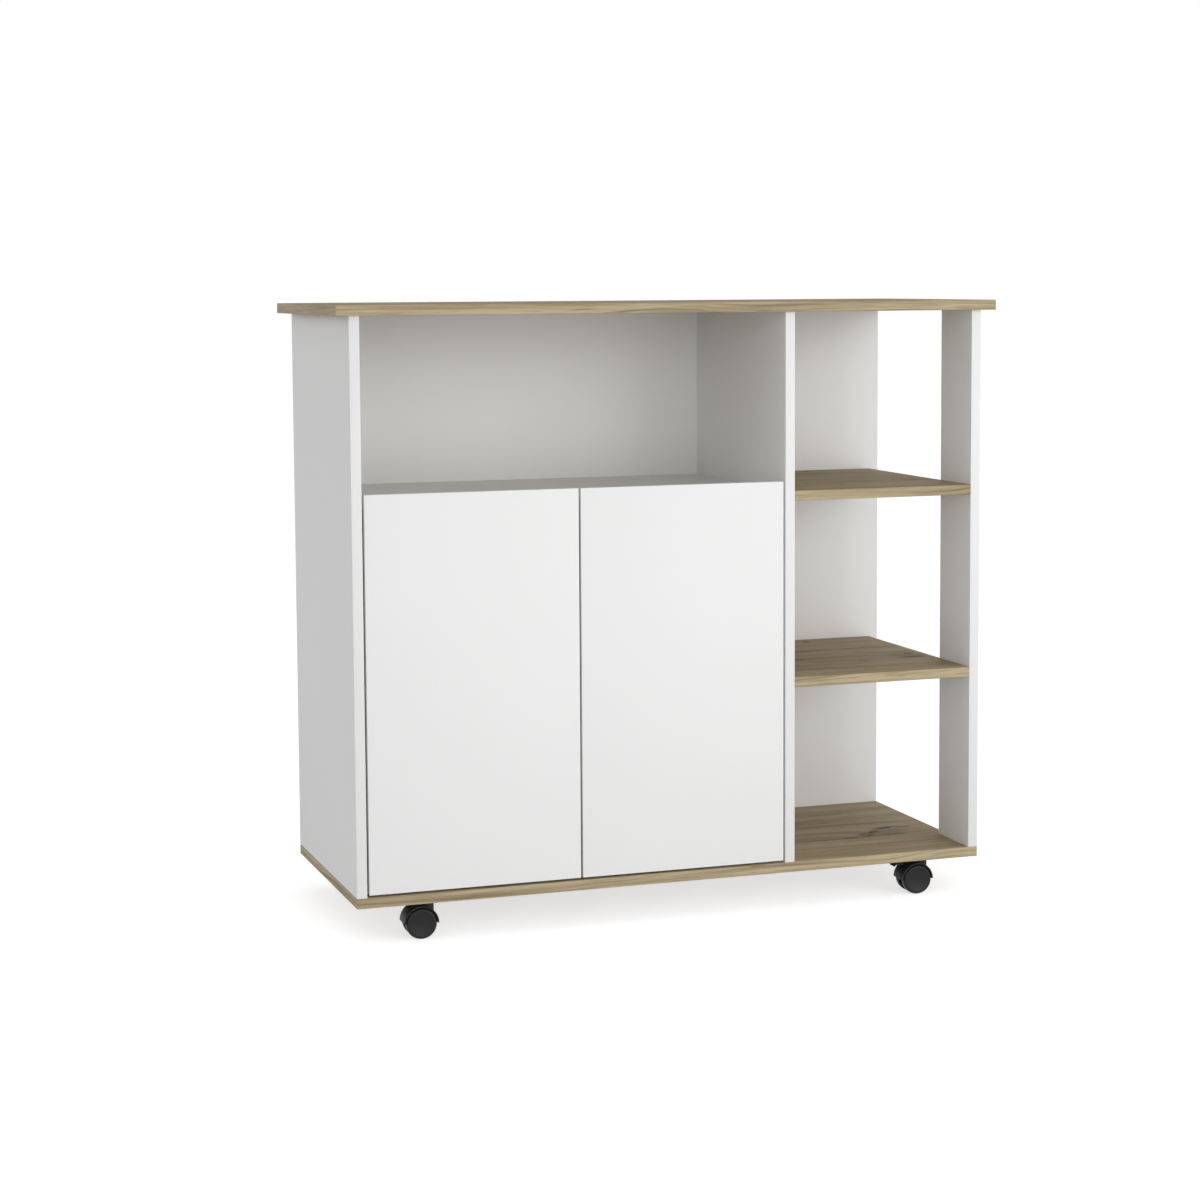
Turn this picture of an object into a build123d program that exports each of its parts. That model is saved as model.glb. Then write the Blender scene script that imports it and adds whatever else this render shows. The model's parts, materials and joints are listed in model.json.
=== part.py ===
from build123d import *
import math
import os

# Kitchen cart: a two-door cabinet with an open niche and an open shelf tower, on four twin-wheel casters.
# Millimetres. X runs to the right seen from the front, Y to the back, Z up.
# The origin is on the floor, under the middle of the worktop.

# Overall size, worktop edge to worktop edge and floor to worktop
overall_width = 1008.0
overall_depth = 400.0
overall_height = 900.0

# Boards
board = 15.0
edge_break = 0.5

# How far the worktop stands out past the body
side_overhang = 20.0
front_overhang = 10.0
back_overhang = 10.0

# Layout of the body
tower_clear_width = 287.0
post_depth = 102.0
bay_count = 3

# Doors
door_side_gap = 2.8
door_centre_gap = 2.4
door_bottom_gap = 3.0
door_lip = 14.2
swing_clearance = 1.6

# Loose shelf inside the cabinet, and the angle brackets that it lies on
inner_shelf_height = 262.0
inner_shelf_setback = 40.0
inner_shelf_play = 1.0
bracket_leg = 14.0
bracket_width = 12.0
bracket_thickness = 1.5
bracket_inset = 40.0

# Play on the radius of a fixed fit and of a turning one
fit_clearance = 0.05
running_clearance = 0.05

# Hinge cup with its flange, and the pin across it
hinge_from_door_end = 85.0
cup_radius = 17.5
cup_depth = 11.7
cup_wall = 1.0
cup_floor = 0.8
cup_tab = 3.0
cup_bore_play = 0.05
flange_rim = 1.0
flange_ear = 11.0
flange_corner = 11.0
flange_thickness = 1.2
hinge_pin_radius = 1.25
hinge_pin_seat = 3.0
pin_from_cup_edge = 7.2
pocket_length = 25.0

# Goose-neck hinge arm
eye_radius = 2.5
eye_air = 0.3
arm_thickness = 1.8
arm_width = 10.0
arm_side_play = 0.5
arm_overrun = 4.0
neck_angle = 17.0
neck_air = 0.9
neck_reach = 15.5

# Mounting plate under the arm
plate_thickness = 2.0
plate_setback = 37.0
plate_height = 44.0
plate_width = 16.0
spine_length = 38.0
spine_width = 14.0

# Magnetic catch under the niche floor and the strike plates on the doors
catch_width = 46.0
catch_depth = 30.0
catch_height = 12.0
catch_air = 0.3
pole_width = 12.0
pole_height = 6.0
pole_thickness = 1.2
pole_reach = 1.6
strike_width = 14.0
strike_height = 12.0
strike_thickness = 1.2
strike_from_door_edge = 14.0

# Casters
boss_rise = 3.4
caster_inset_left = 106.0
caster_inset_right = 85.5
caster_inset_depth = 24.2
caster_trail = 10.0
caster_plate_size = 36.0
caster_plate_thickness = 1.5
stem_radius = 4.0
stem_length = 21.5
stem_boss_radius = 11.0
thrust_gap = 0.3

# Wheels, two on each axle
wheel_radius = 22.5
wheel_width = 12.0
wheel_end_wall = 2.5
axle_radius = 2.5
axle_end_play = 0.3

# Hood over the wheels, with the web between them; the web's ends are measured from the axle
web_thickness = 11.0
web_side_gap = 0.5
web_ahead = 17.0
web_behind = 15.5
web_below = 6.0
hood_gap = 0.6
hood_wall = 2.2
hood_inset = 0.8

# Brake lever in side view: the pivot is measured from the axle and the hood, the other points from the pivot
lever_pivot_behind = 11.0
lever_pivot_under_hood = 5.6
lever_knee = (-9.0, 5.1)
lever_lip = (-20.0, 6.1)
lever_tip = (-24.6, 3.3)
lever_thickness = 2.2
lever_neck_width = 5.0
lever_tab_width = 16.0
lever_tab_start = -11.5
lever_travel = 15.0
lever_steps = 4
lever_air = 0.8
lever_side_gap = 0.3
trunnion_radius = 1.6
trunnion_length = 10.6

# Turn of each caster about its stem at rest, in degrees
front_caster_yaw = -2.0
back_left_caster_yaw = 5.0
back_right_caster_yaw = -7.0

UP = (0, 0, 1)
DOWN = (0, 0, -1)
LEFT = (-1, 0, 0)
RIGHT = (1, 0, 0)
FRONT = (0, -1, 0)
BACK = (0, 1, 0)

# Faces of the body
x_left = -overall_width / 2 + side_overhang
x_right = overall_width / 2 - side_overhang
y_front = -overall_depth / 2 + front_overhang
y_back = overall_depth / 2 - back_overhang
y_inner_back = y_back - board
hood_inner = wheel_radius + hood_gap
hood_outer = hood_inner + hood_wall
z_base = wheel_radius + hood_outer + boss_rise + thrust_gap + caster_plate_thickness
z_deck = z_base + board
z_roof = overall_height - board
x_cabinet_left = x_left + board
x_post = x_right - board
x_tower = x_post - tower_clear_width
x_divider = x_tower - board
y_post_back = y_front + post_depth
x_door_middle = (x_cabinet_left + x_divider) / 2

# Shelf levels: the open bays share the height of the body equally
bay_height = (z_roof - z_deck - (bay_count - 1) * board) / bay_count
shelf_levels = [z_deck + bay_height + level * (bay_height + board) for level in range(bay_count - 1)]
z_niche = shelf_levels[-1]

# Doors
z_door_bottom = z_deck + door_bottom_gap
z_door_top = z_niche + board + door_lip
door_width = (x_divider - x_cabinet_left - 2 * door_side_gap - door_centre_gap) / 2
hinge_heights = [z_door_bottom + hinge_from_door_end, z_door_top - hinge_from_door_end]

# Hinge pin: how far in from the panel face, and how far back from the doors' front
cup_in = door_side_gap + cup_tab + cup_radius
pin_in = door_side_gap + cup_tab + pin_from_cup_edge
pin_back = board - cup_depth + cup_floor + eye_air + eye_radius
pocket_width = arm_width + 2 * arm_side_play
hinge_pin_length = pocket_width + 2 * hinge_pin_seat
swing_radius = math.hypot(pin_in - door_side_gap, board - pin_back)
y_niche_front = y_front + pin_back + swing_radius + swing_clearance

# Caster sizes that follow from the wheel, measured from the axle
wheel_inner = web_thickness / 2 + web_side_gap
wheel_outer = wheel_inner + wheel_width
hood_half = wheel_outer - hood_inset
boss_top = z_base - caster_plate_thickness - thrust_gap - wheel_radius
stem_foot = z_base - caster_plate_thickness - stem_length - wheel_radius


def planes_at(points, toward):
    """Planes at the given points that look the given way."""
    return [Plane(origin=point, z_dir=toward) for point in points]


def bore(planes, radius, depth):
    """Round holes that start on each plane: ahead of it, or behind it for a negative depth."""
    for plane in planes:
        with BuildSketch(plane) as mouth:
            Circle(radius)
        extrude(mouth.sketch, amount=depth, mode=Mode.SUBTRACT)


def board_between(start, end):
    """A plain board, from its lower left front corner to its upper right back corner."""
    with BuildSketch(Plane.XY.offset(start[2])) as outline:
        with Locations((start[0], start[1])):
            Rectangle(end[0] - start[0], end[1] - start[1], align=(Align.MIN, Align.MIN))
    extrude(outline.sketch, amount=end[2] - start[2])


def placed(piece, planes):
    """Copies of a piece made at the origin, one on each plane."""
    with BuildPart() as group:
        with Locations(*planes):
            add(piece.part)
    return group


def save(piece, name):
    """Label a finished piece and write it under its node name."""
    piece.part.label = name
    export_step(piece.part, f"parts/{name}.step")


# Brackets of the loose shelf: X away from the panel, Y up, from the shelf's underside
z_inner_shelf = z_deck + inner_shelf_height
y_inner_shelf = y_front + board + inner_shelf_setback
bracket_rows = (y_inner_shelf + bracket_inset, y_inner_back - bracket_inset)
brackets = [Plane(origin=(x_cabinet_left, y, z_inner_shelf), x_dir=RIGHT, z_dir=FRONT) for y in bracket_rows]
brackets += [Plane(origin=(x_divider, y, z_inner_shelf), x_dir=LEFT, z_dir=BACK) for y in bracket_rows]

# Hinges in plan: X into the cabinet from the panel face, Y back from the doors' front, Z along the pin
left_hinges = [Plane(origin=(x_cabinet_left, y_front, z), x_dir=RIGHT, z_dir=UP) for z in hinge_heights]
right_hinges = [Plane(origin=(x_divider, y_front, z), x_dir=LEFT, z_dir=DOWN) for z in hinge_heights]


def cup_mouths(hinges):
    """Planes on the back of a door over its hinge cups, X away from the panel and looking back."""
    centers = [(hinge, hinge.from_local_coords((cup_in, board, 0))) for hinge in hinges]
    return [Plane(origin=center, x_dir=hinge.x_dir, z_dir=BACK) for hinge, center in centers]


# Strike plates, on the backs of the doors near their meeting edges
strike_offset = door_centre_gap / 2 + strike_from_door_edge
y_door_back = y_front + board
z_strike = z_niche - catch_height / 2
left_strike = Plane(origin=(x_door_middle - strike_offset, y_door_back, z_strike), x_dir=RIGHT, z_dir=BACK)
right_strike = Plane(origin=(x_door_middle + strike_offset, y_door_back, z_strike), x_dir=RIGHT, z_dir=BACK)

# Magnetic catch: its poles stop just short of the strike plates
y_catch = y_door_back + strike_thickness + pole_reach + catch_air


def caster_plane(x, y, yaw):
    """The axle's frame: X ahead to the stem, Y along the axle, Z up."""
    ahead = Vector(math.cos(math.radians(yaw)), math.sin(math.radians(yaw)), 0)
    axle_center = Vector(x, y, wheel_radius) - ahead * caster_trail
    return Plane(origin=axle_center, x_dir=ahead, z_dir=UP)


# Stems under the base board, and the casters that turn on them
x_stem_left = x_left + caster_inset_left
x_stem_right = x_right - caster_inset_right
y_stem_front = y_front + caster_inset_depth
y_stem_back = y_back - caster_inset_depth
stems = [(x, y) for x in (x_stem_left, x_stem_right) for y in (y_stem_front, y_stem_back)]
casters = {
    "front_left": caster_plane(x_stem_left, y_stem_front, front_caster_yaw),
    "front_right": caster_plane(x_stem_right, y_stem_front, front_caster_yaw),
    "back_left": caster_plane(x_stem_left, y_stem_back, back_left_caster_yaw),
    "back_right": caster_plane(x_stem_right, y_stem_back, back_right_caster_yaw),
}
braked_casters = ("front_right", "back_left")
z_plate = z_base - caster_plate_thickness
caster_plates = planes_at([(x, y, z_plate) for x, y in stems], UP)

os.makedirs("parts", exist_ok=True)

# Worktop
with BuildPart() as worktop:
    board_between(
        (-overall_width / 2, -overall_depth / 2, z_roof),
        (overall_width / 2, overall_depth / 2, overall_height),
    )
    chamfer(worktop.edges(), length=edge_break)
save(worktop, "worktop")

# Base board
with BuildPart() as base_board:
    board_between((x_left, y_front, z_base), (x_right, y_back, z_deck))
    chamfer(base_board.edges(), length=edge_break)
save(base_board, "base_board")

# Left side panel
with BuildPart() as left_side_panel:
    board_between((x_left, y_front, z_deck), (x_cabinet_left, y_back, z_roof))
    chamfer(left_side_panel.edges().filter_by(Axis.Z), length=edge_break)
save(left_side_panel, "left_side_panel")

# Divider between the cabinet and the open tower
with BuildPart() as divider_panel:
    board_between((x_divider, y_front, z_deck), (x_tower, y_inner_back, z_roof))
    chamfer(divider_panel.edges().filter_by(Axis.Z).group_by(Axis.Y)[0], length=edge_break)
save(divider_panel, "divider_panel")

# Front post of the open tower
with BuildPart() as tower_post:
    board_between((x_post, y_front, z_deck), (x_right, y_post_back, z_roof))
    chamfer(tower_post.edges().filter_by(Axis.Z), length=edge_break)
save(tower_post, "tower_post")

# Back panel, one board across the cabinet and the tower
with BuildPart() as back_panel:
    board_between((x_cabinet_left, y_inner_back, z_deck), (x_right, y_back, z_roof))
    chamfer(back_panel.edges().filter_by(Axis.Z).group_by(Axis.X)[-1], length=edge_break)
save(back_panel, "back_panel")

# Niche floor, the fixed shelf just below the tops of the doors
with BuildPart() as niche_floor:
    board_between((x_cabinet_left, y_niche_front, z_niche), (x_divider, y_inner_back, z_niche + board))
    chamfer(niche_floor.edges().filter_by(Axis.X).group_by(Axis.Y)[0], length=edge_break)
save(niche_floor, "niche_floor")

# Open shelves of the tower
for name, z_shelf in (("lower_open_shelf", shelf_levels[0]), ("upper_open_shelf", shelf_levels[-1])):
    with BuildPart() as open_shelf:
        board_between((x_tower, y_front, z_shelf), (x_post, y_inner_back, z_shelf + board))
        chamfer(open_shelf.edges().filter_by(Axis.X).group_by(Axis.Y)[0], length=edge_break)
    save(open_shelf, name)

# Loose shelf inside the cabinet
with BuildPart() as inner_shelf:
    board_between(
        (x_cabinet_left + inner_shelf_play, y_inner_shelf, z_inner_shelf),
        (x_divider - inner_shelf_play, y_inner_back - inner_shelf_play, z_inner_shelf + board),
    )
    chamfer(inner_shelf.edges(), length=edge_break)
save(inner_shelf, "inner_shelf")

# Angle brackets under the loose shelf
with BuildPart() as shelf_bracket:
    with BuildSketch():
        Rectangle(bracket_leg, bracket_thickness, align=(Align.MIN, Align.MAX))
        Rectangle(bracket_thickness, bracket_leg, align=(Align.MIN, Align.MAX))
    extrude(amount=bracket_width / 2, both=True)
save(placed(shelf_bracket, brackets), "shelf_brackets")


def make_door(x_start, hinges):
    """A flush inset door, bored from behind for its hinge cups."""
    with BuildPart() as door:
        board_between((x_start, y_front, z_door_bottom), (x_start + door_width, y_front + board, z_door_top))
        chamfer(door.edges(), length=edge_break)
        bore(cup_mouths(hinges), cup_radius + cup_bore_play, -cup_depth - cup_bore_play)
    return door


save(make_door(x_cabinet_left + door_side_gap, left_hinges), "left_door")
save(make_door(x_door_middle + door_centre_gap / 2, right_hinges), "right_door")

# Magnetic catch: a housing with the poles of a magnet for each door
with BuildPart() as magnetic_catch:
    board_between(
        (x_door_middle - catch_width / 2, y_catch, z_niche - catch_height),
        (x_door_middle + catch_width / 2, y_catch + catch_depth, z_niche),
    )
    chamfer(magnetic_catch.edges().group_by(Axis.Z)[0], length=2 * edge_break)
    with BuildSketch(Plane(origin=(x_door_middle, y_catch, z_strike), x_dir=RIGHT, z_dir=FRONT)):
        for side in (-1, 1):
            for pole in (-1, 1):
                with Locations((side * strike_offset + pole * (pole_width - pole_thickness) / 2, 0)):
                    Rectangle(pole_thickness, pole_height)
    extrude(amount=pole_reach)
save(magnetic_catch, "magnetic_catch")

# Strike plates
with BuildPart() as strike_plate:
    with BuildSketch():
        Rectangle(strike_width, strike_height)
    extrude(amount=strike_thickness)
save(placed(strike_plate, [left_strike]), "left_strike_plate")
save(placed(strike_plate, [right_strike]), "right_strike_plate")

# Hinge cup, from the back of the door: a winged flange, a pocket for the arm and slots that seat the pin
with BuildPart() as hinge_cup:
    with BuildSketch():
        Circle(cup_radius)
    extrude(amount=-cup_depth)
    with BuildSketch() as flange_outline:
        Rectangle(2 * (cup_radius + flange_rim), 2 * (cup_radius + flange_ear))
        chamfer(flange_outline.vertices(), length=flange_corner)
    extrude(amount=flange_thickness)
    pocket_middle = (pocket_length - math.sqrt(4 * cup_radius**2 - pocket_width**2)) / 2 + cup_wall
    with BuildSketch(Plane.XY.offset(flange_thickness)):
        with Locations((pocket_middle, 0)):
            Rectangle(pocket_length, pocket_width)
    extrude(amount=cup_floor - cup_depth - flange_thickness, mode=Mode.SUBTRACT)
    seat_radius = hinge_pin_radius + fit_clearance
    with BuildSketch(Plane(origin=(pin_in - cup_in, 0, pin_back - board), x_dir=LEFT, z_dir=BACK)):
        Circle(seat_radius)
        Rectangle(2 * seat_radius, board + flange_thickness - pin_back, align=(Align.CENTER, Align.MIN))
    extrude(amount=hinge_pin_length / 2 + fit_clearance, both=True, mode=Mode.SUBTRACT)
save(placed(hinge_cup, cup_mouths(left_hinges)), "left_hinge_cups")
save(placed(hinge_cup, cup_mouths(right_hinges)), "right_hinge_cups")

# Hinge pins
with BuildPart() as hinge_pin:
    with BuildSketch():
        with Locations((pin_in, pin_back)):
            Circle(hinge_pin_radius)
    extrude(amount=hinge_pin_length / 2, both=True)
save(placed(hinge_pin, left_hinges), "left_hinge_pins")
save(placed(hinge_pin, right_hinges), "right_hinge_pins")

# Goose-neck arm: out of the cup, round the swinging edge of the door and back along the panel
plate_back = board + plate_setback
arm_middle = plate_thickness + arm_thickness / 2
neck_back = pin_back + swing_radius + neck_air + arm_thickness / 2
neck_rise = neck_reach * math.tan(math.radians(neck_angle))
arm_end = plate_back + spine_length / 2 + arm_overrun
with BuildPart() as hinge_arm:
    with BuildSketch():
        with BuildLine():
            Polyline(
                (pin_in, pin_back),
                (pin_in + neck_reach, pin_back + neck_rise),
                (pin_in + neck_reach, neck_back),
                (arm_middle, neck_back),
                (arm_middle, arm_end),
            )
        trace(line_width=arm_thickness)
        with Locations((pin_in, pin_back)):
            Circle(eye_radius)
            Circle(hinge_pin_radius + running_clearance, mode=Mode.SUBTRACT)
    extrude(amount=arm_width / 2, both=True)
save(placed(hinge_arm, left_hinges), "left_hinge_arms")
save(placed(hinge_arm, right_hinges), "right_hinge_arms")

# Mounting plates: a spine under the arm and two wings against the panel
with BuildPart() as mounting_plate:
    with BuildSketch(Plane(origin=(plate_thickness, plate_back, 0), x_dir=BACK, z_dir=RIGHT)):
        Rectangle(plate_width, plate_height)
        Rectangle(spine_length, spine_width)
    extrude(amount=-plate_thickness)
save(placed(mounting_plate, left_hinges + right_hinges), "hinge_mounting_plates")

# Caster plates, and the stems riveted to them
with BuildPart() as caster_plate:
    with BuildSketch():
        Rectangle(caster_plate_size, caster_plate_size)
    extrude(amount=caster_plate_thickness)
save(placed(caster_plate, caster_plates), "caster_plates")

with BuildPart() as caster_stem:
    with BuildSketch():
        Circle(stem_radius)
    extrude(amount=-stem_length)
save(placed(caster_stem, caster_plates), "caster_stems")

# Side views of a caster: X ahead to the stem, Y up, from the axle and from the lever's pivot
caster_side = Plane(origin=(0, 0, 0), x_dir=RIGHT, z_dir=FRONT)
lever_pivot = (-lever_pivot_behind, 0, hood_inner - lever_pivot_under_hood)
lever_side = Plane(origin=lever_pivot, x_dir=RIGHT, z_dir=FRONT)


def lever_profile(air):
    """Side view of the brake lever about its pivot, with air left round it."""
    with BuildSketch() as profile:
        with BuildLine():
            Polyline((0, 0), lever_knee, lever_lip, lever_tip)
        trace(line_width=lever_thickness + 2 * air)
    return profile.sketch


# Brake lever: a narrow neck on a cross pin, and a wide tab for the foot
with BuildPart() as brake_lever:
    with BuildSketch(lever_side):
        add(lever_profile(0))
    extrude(amount=lever_tab_width / 2, both=True)
    for side in (-1, 1):
        with BuildSketch(lever_side.offset(side * lever_neck_width / 2)):
            with Locations((lever_tab_start, 0)):
                Rectangle(wheel_radius, wheel_radius, align=(Align.MIN, Align.CENTER))
        extrude(amount=side * lever_tab_width, mode=Mode.SUBTRACT)
    with BuildSketch(lever_side):
        Circle(trunnion_radius)
    extrude(amount=trunnion_length / 2, both=True)


def make_housing(braked):
    """Caster housing: a hood over both wheels, the web between them and the boss that turns on the stem."""
    with BuildPart() as housing:
        with BuildSketch(caster_side):
            Circle(hood_outer)
            Rectangle(2 * hood_outer, hood_outer, align=(Align.CENTER, Align.MAX), mode=Mode.SUBTRACT)
        extrude(amount=hood_half, both=True)
        with BuildSketch(Plane.XY.offset(hood_inner / 2)):
            with Locations((caster_trail, 0)):
                Circle(stem_boss_radius)
        extrude(amount=boss_top - hood_inner / 2)
        with BuildSketch(caster_side):
            Circle(hood_inner)
        extrude(amount=wheel_outer, both=True, mode=Mode.SUBTRACT)
        with BuildSketch(caster_side) as web_outline:
            with Locations((-web_behind, -web_below)):
                Rectangle(web_behind + web_ahead, web_below + hood_outer, align=(Align.MIN, Align.MIN))
            Circle(hood_inner + hood_wall / 2, mode=Mode.INTERSECT)
            Circle(axle_radius + fit_clearance, mode=Mode.SUBTRACT)
        extrude(amount=web_thickness / 2, both=True)
        stem_top = Plane(origin=(caster_trail, 0, boss_top))
        bore([stem_top], stem_radius + running_clearance, stem_foot - thrust_gap - boss_top)
        if braked:
            with BuildSketch(lever_side):
                with PolarLocations(0, lever_steps, angular_range=lever_travel, endpoint=True):
                    add(lever_profile(lever_air))
            extrude(amount=lever_neck_width / 2 + lever_side_gap, both=True, mode=Mode.SUBTRACT)
            with BuildSketch(lever_side):
                Circle(trunnion_radius + running_clearance)
            extrude(amount=web_thickness, both=True, mode=Mode.SUBTRACT)
    return housing


# Wheel on the axle's far side, its hub bored part way
with BuildPart() as wheel:
    with BuildSketch():
        with BuildLine():
            Polyline(
                (axle_radius + fit_clearance, wheel_inner),
                (wheel_radius, wheel_inner),
                (wheel_radius, wheel_outer),
                (0, wheel_outer),
                (0, wheel_outer - wheel_end_wall),
                (axle_radius + fit_clearance, wheel_outer - wheel_end_wall),
                close=True,
            )
        make_face()
    revolve(axis=Axis.Y)

with BuildPart() as mirrored_wheel:
    mirror(wheel.part, about=Plane.XZ)

# Axle, fixed in the web, with a wheel turning on each end
axle_half = wheel_outer - wheel_end_wall - axle_end_play
with BuildPart() as axle:
    with BuildSketch(caster_side):
        Circle(axle_radius)
    extrude(amount=axle_half, both=True)

for name, plane in casters.items():
    braked = name in braked_casters
    save(placed(make_housing(braked), [plane]), f"{name}_caster_housing")
    save(placed(axle, [plane]), f"{name}_caster_axle")
    save(placed(wheel, [plane]), f"{name}_caster_far_wheel")
    save(placed(mirrored_wheel, [plane]), f"{name}_caster_near_wheel")
    if braked:
        save(placed(brake_lever, [plane]), f"{name}_brake_lever")
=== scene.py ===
import json
import logging
import math
from collections.abc import Iterable, Sequence
from dataclasses import dataclass, replace
from enum import Enum

import bmesh
import bpy
from mathutils import Matrix, Vector


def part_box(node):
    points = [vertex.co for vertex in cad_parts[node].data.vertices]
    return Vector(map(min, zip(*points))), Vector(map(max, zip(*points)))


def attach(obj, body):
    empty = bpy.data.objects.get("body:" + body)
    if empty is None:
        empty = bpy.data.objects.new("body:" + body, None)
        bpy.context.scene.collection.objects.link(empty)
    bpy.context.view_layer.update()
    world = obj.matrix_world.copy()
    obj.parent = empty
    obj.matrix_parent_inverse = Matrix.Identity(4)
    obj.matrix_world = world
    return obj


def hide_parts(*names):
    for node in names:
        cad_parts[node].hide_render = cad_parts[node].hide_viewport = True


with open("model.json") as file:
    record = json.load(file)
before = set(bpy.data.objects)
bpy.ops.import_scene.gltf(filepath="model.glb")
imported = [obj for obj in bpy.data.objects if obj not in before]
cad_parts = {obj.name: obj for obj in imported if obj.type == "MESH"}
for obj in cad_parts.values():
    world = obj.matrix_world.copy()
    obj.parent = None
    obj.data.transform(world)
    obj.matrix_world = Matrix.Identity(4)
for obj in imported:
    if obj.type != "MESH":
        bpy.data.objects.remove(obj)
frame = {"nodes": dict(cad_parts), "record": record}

# A kitchen cart on four swivel casters: white melamine boards, oak-decor boards, cup hinges, hooded twin wheels.
# Pieces are modelled in millimetres in the shared frame and turned to metres when they are finished.

log = logging.getLogger("kitchen_cart")

MM = 0.001
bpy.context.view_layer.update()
GRAIN_MAP = "grain"
# How far the edge bands' print lies from the faces' on the grain map, in millimetres, so that the two don't repeat
EDGE_GRAIN_SHIFT = 600
# The inner faces of the left side panel and of the divider, which the cabinet's fittings are screwed to
PANEL_FACE, DIVIDER_FACE = -469.0, 167.0

Point = tuple[float, float]
Spot = tuple[float, float, float]


def linear(hex_colour: str) -> tuple[float, float, float, float]:
    """Turn an sRGB hex colour into the linear one that the shaders take.

    Args:
        hex_colour: Six hex digits, red, green and blue.

    Returns:
        Linear red, green and blue, with full alpha.
    """
    parts = [int(hex_colour[start:start + 2], 16) / 255 for start in (0, 2, 4)]
    bent = [part / 12.92 if part <= 0.04045 else ((part + 0.055) / 1.055) ** 2.4 for part in parts]
    return (bent[0], bent[1], bent[2], 1.0)


def add_node(
    tree: bpy.types.NodeTree,
    kind: str,
    settings: dict[str, object] | None = None,
    sockets: dict[str | int, object] | None = None,
) -> bpy.types.Node:
    """Add a node to a tree with its settings and links.

    Args:
        tree: The tree that gets the node.
        kind: The node's Blender type.
        settings: Attributes of the node itself.
        sockets: Its inputs by name or number, each a plain value or another node's output to link.

    Returns:
        The new node.
    """
    node = tree.nodes.new(kind)
    for name, value in (settings or {}).items():
        setattr(node, name, value)
    for name, value in (sockets or {}).items():
        if isinstance(value, bpy.types.NodeSocket):
            tree.links.new(value, node.inputs[name])
        else:
            node.inputs[name].default_value = value
    return node


def bare_tree(owner: bpy.types.Material | bpy.types.World) -> bpy.types.NodeTree:
    """Switch a material or world to nodes and take out those it comes with.

    Args:
        owner: The material or world.

    Returns:
        Its empty tree.
    """
    owner.use_nodes = True
    owner.node_tree.nodes.clear()
    return owner.node_tree


class Slot(Enum):
    """The record's material slots."""

    WHITE_BOARD = "white_board"
    OAK_BOARD = "oak_board"
    ZINC = "zinc_plated_steel"
    NICKEL = "nickel_plated_steel"
    CATCH = "catch_plastic"
    CASTER = "caster_plastic"
    WHEEL = "wheel_plastic"


@dataclass(frozen=True)
class Finish:
    """A finish of the cart: what all its materials have in common."""

    name: str
    slot: Slot
    roughness: float = 0.5
    # How much smoother and rougher than that the surface is at the two ends of its pattern
    roughness_play: Point = (-0.06, 0.06)
    # How strongly the fine relief shows, from 0 to 1, and its depth in millimetres
    relief: Point = (0.4, 0.02)

    def material(self) -> bpy.types.Material:
        """Give the finish's material, made on first use.

        Returns:
            The material, with its whole node tree.
        """
        made = bpy.data.materials.get(self.name)
        if made is None:
            made = bpy.data.materials.new(self.name)
            tree = bare_tree(made)
            add_node(tree, "ShaderNodeOutputMaterial", sockets={"Surface": self.surface(tree).outputs["BSDF"]})
        return made

    def surface(self, tree: bpy.types.NodeTree) -> bpy.types.Node:
        """Build the finish's shader; each kind of finish has its own."""
        raise NotImplementedError

    def dressed(
        self,
        tree: bpy.types.NodeTree,
        colour: bpy.types.NodeSocket,
        gloss: bpy.types.NodeSocket,
        height: bpy.types.NodeSocket,
        others: dict[str, float],
        sunk: bool = False,
    ) -> bpy.types.Node:
        """Join the finish's patterns into one shader.

        Args:
            tree: The material's tree.
            colour: The colour over the surface.
            gloss: The pattern that makes it smoother and rougher.
            height: The pattern of its relief.
            others: The shader's other values.
            sunk: Whether the relief lies in the surface instead of standing out.

        Returns:
            The shader node.
        """
        smooth, rough = (self.roughness + play for play in self.roughness_play)
        strength, depth_mm = self.relief
        spread = add_node(tree, "ShaderNodeMapRange", sockets={"Value": gloss, "To Min": smooth, "To Max": rough})
        raised = add_node(
            tree, "ShaderNodeBump", {"invert": sunk},
            {"Strength": strength, "Distance": depth_mm * MM, "Height": height},
        )
        return add_node(
            tree, "ShaderNodeBsdfPrincipled",
            sockets={
                "Base Color": colour, "Roughness": spread.outputs["Result"], "Normal": raised.outputs["Normal"],
                **others,
            },
        )


@dataclass(frozen=True)
class WhiteMelamine(Finish):
    """White melamine: decor paper pressed on particleboard under a satin plate.

    The eye gets an even, slightly cool white with a soft sheen that a faint pebble of the press plate breaks up.
    """

    colour: str = "F5F5F5"
    shade: str = "F1F1F0"
    roughness: float = 0.42
    roughness_play: Point = (-0.05, 0.06)
    relief: Point = (0.5, 0.012)
    specular: float = 0.35
    # The paper's white drifts slowly, three times in a metre.
    cloud_mm: float = 1000 / 3
    # The plate's pebble is about 0.3 mm; it is drawn at 1.6 mm, as coarse as it needs to be to show.
    pebble_mm: float = 1.6

    def surface(self, tree: bpy.types.NodeTree) -> bpy.types.Node:
        """Build the melamine's shader.

        Args:
            tree: The material's tree.

        Returns:
            The shader node.
        """
        place = add_node(tree, "ShaderNodeTexCoord").outputs["Object"]
        cloud = add_node(
            tree, "ShaderNodeTexNoise",
            sockets={"Vector": place, "Scale": 1 / (self.cloud_mm * MM), "Detail": 2.0},
        )
        pebble = add_node(
            tree, "ShaderNodeTexNoise",
            sockets={"Vector": place, "Scale": 1 / (self.pebble_mm * MM), "Detail": 2.0, "Roughness": 0.6},
        ).outputs["Fac"]
        tone = add_node(
            tree, "ShaderNodeMix", {"data_type": "RGBA"},
            {0: cloud.outputs["Fac"], 6: linear(self.colour), 7: linear(self.shade)},
        )
        others = {"IOR": 1.5, "Specular IOR Level": self.specular}
        return self.dressed(tree, tone.outputs[2], pebble, pebble, others)


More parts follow.
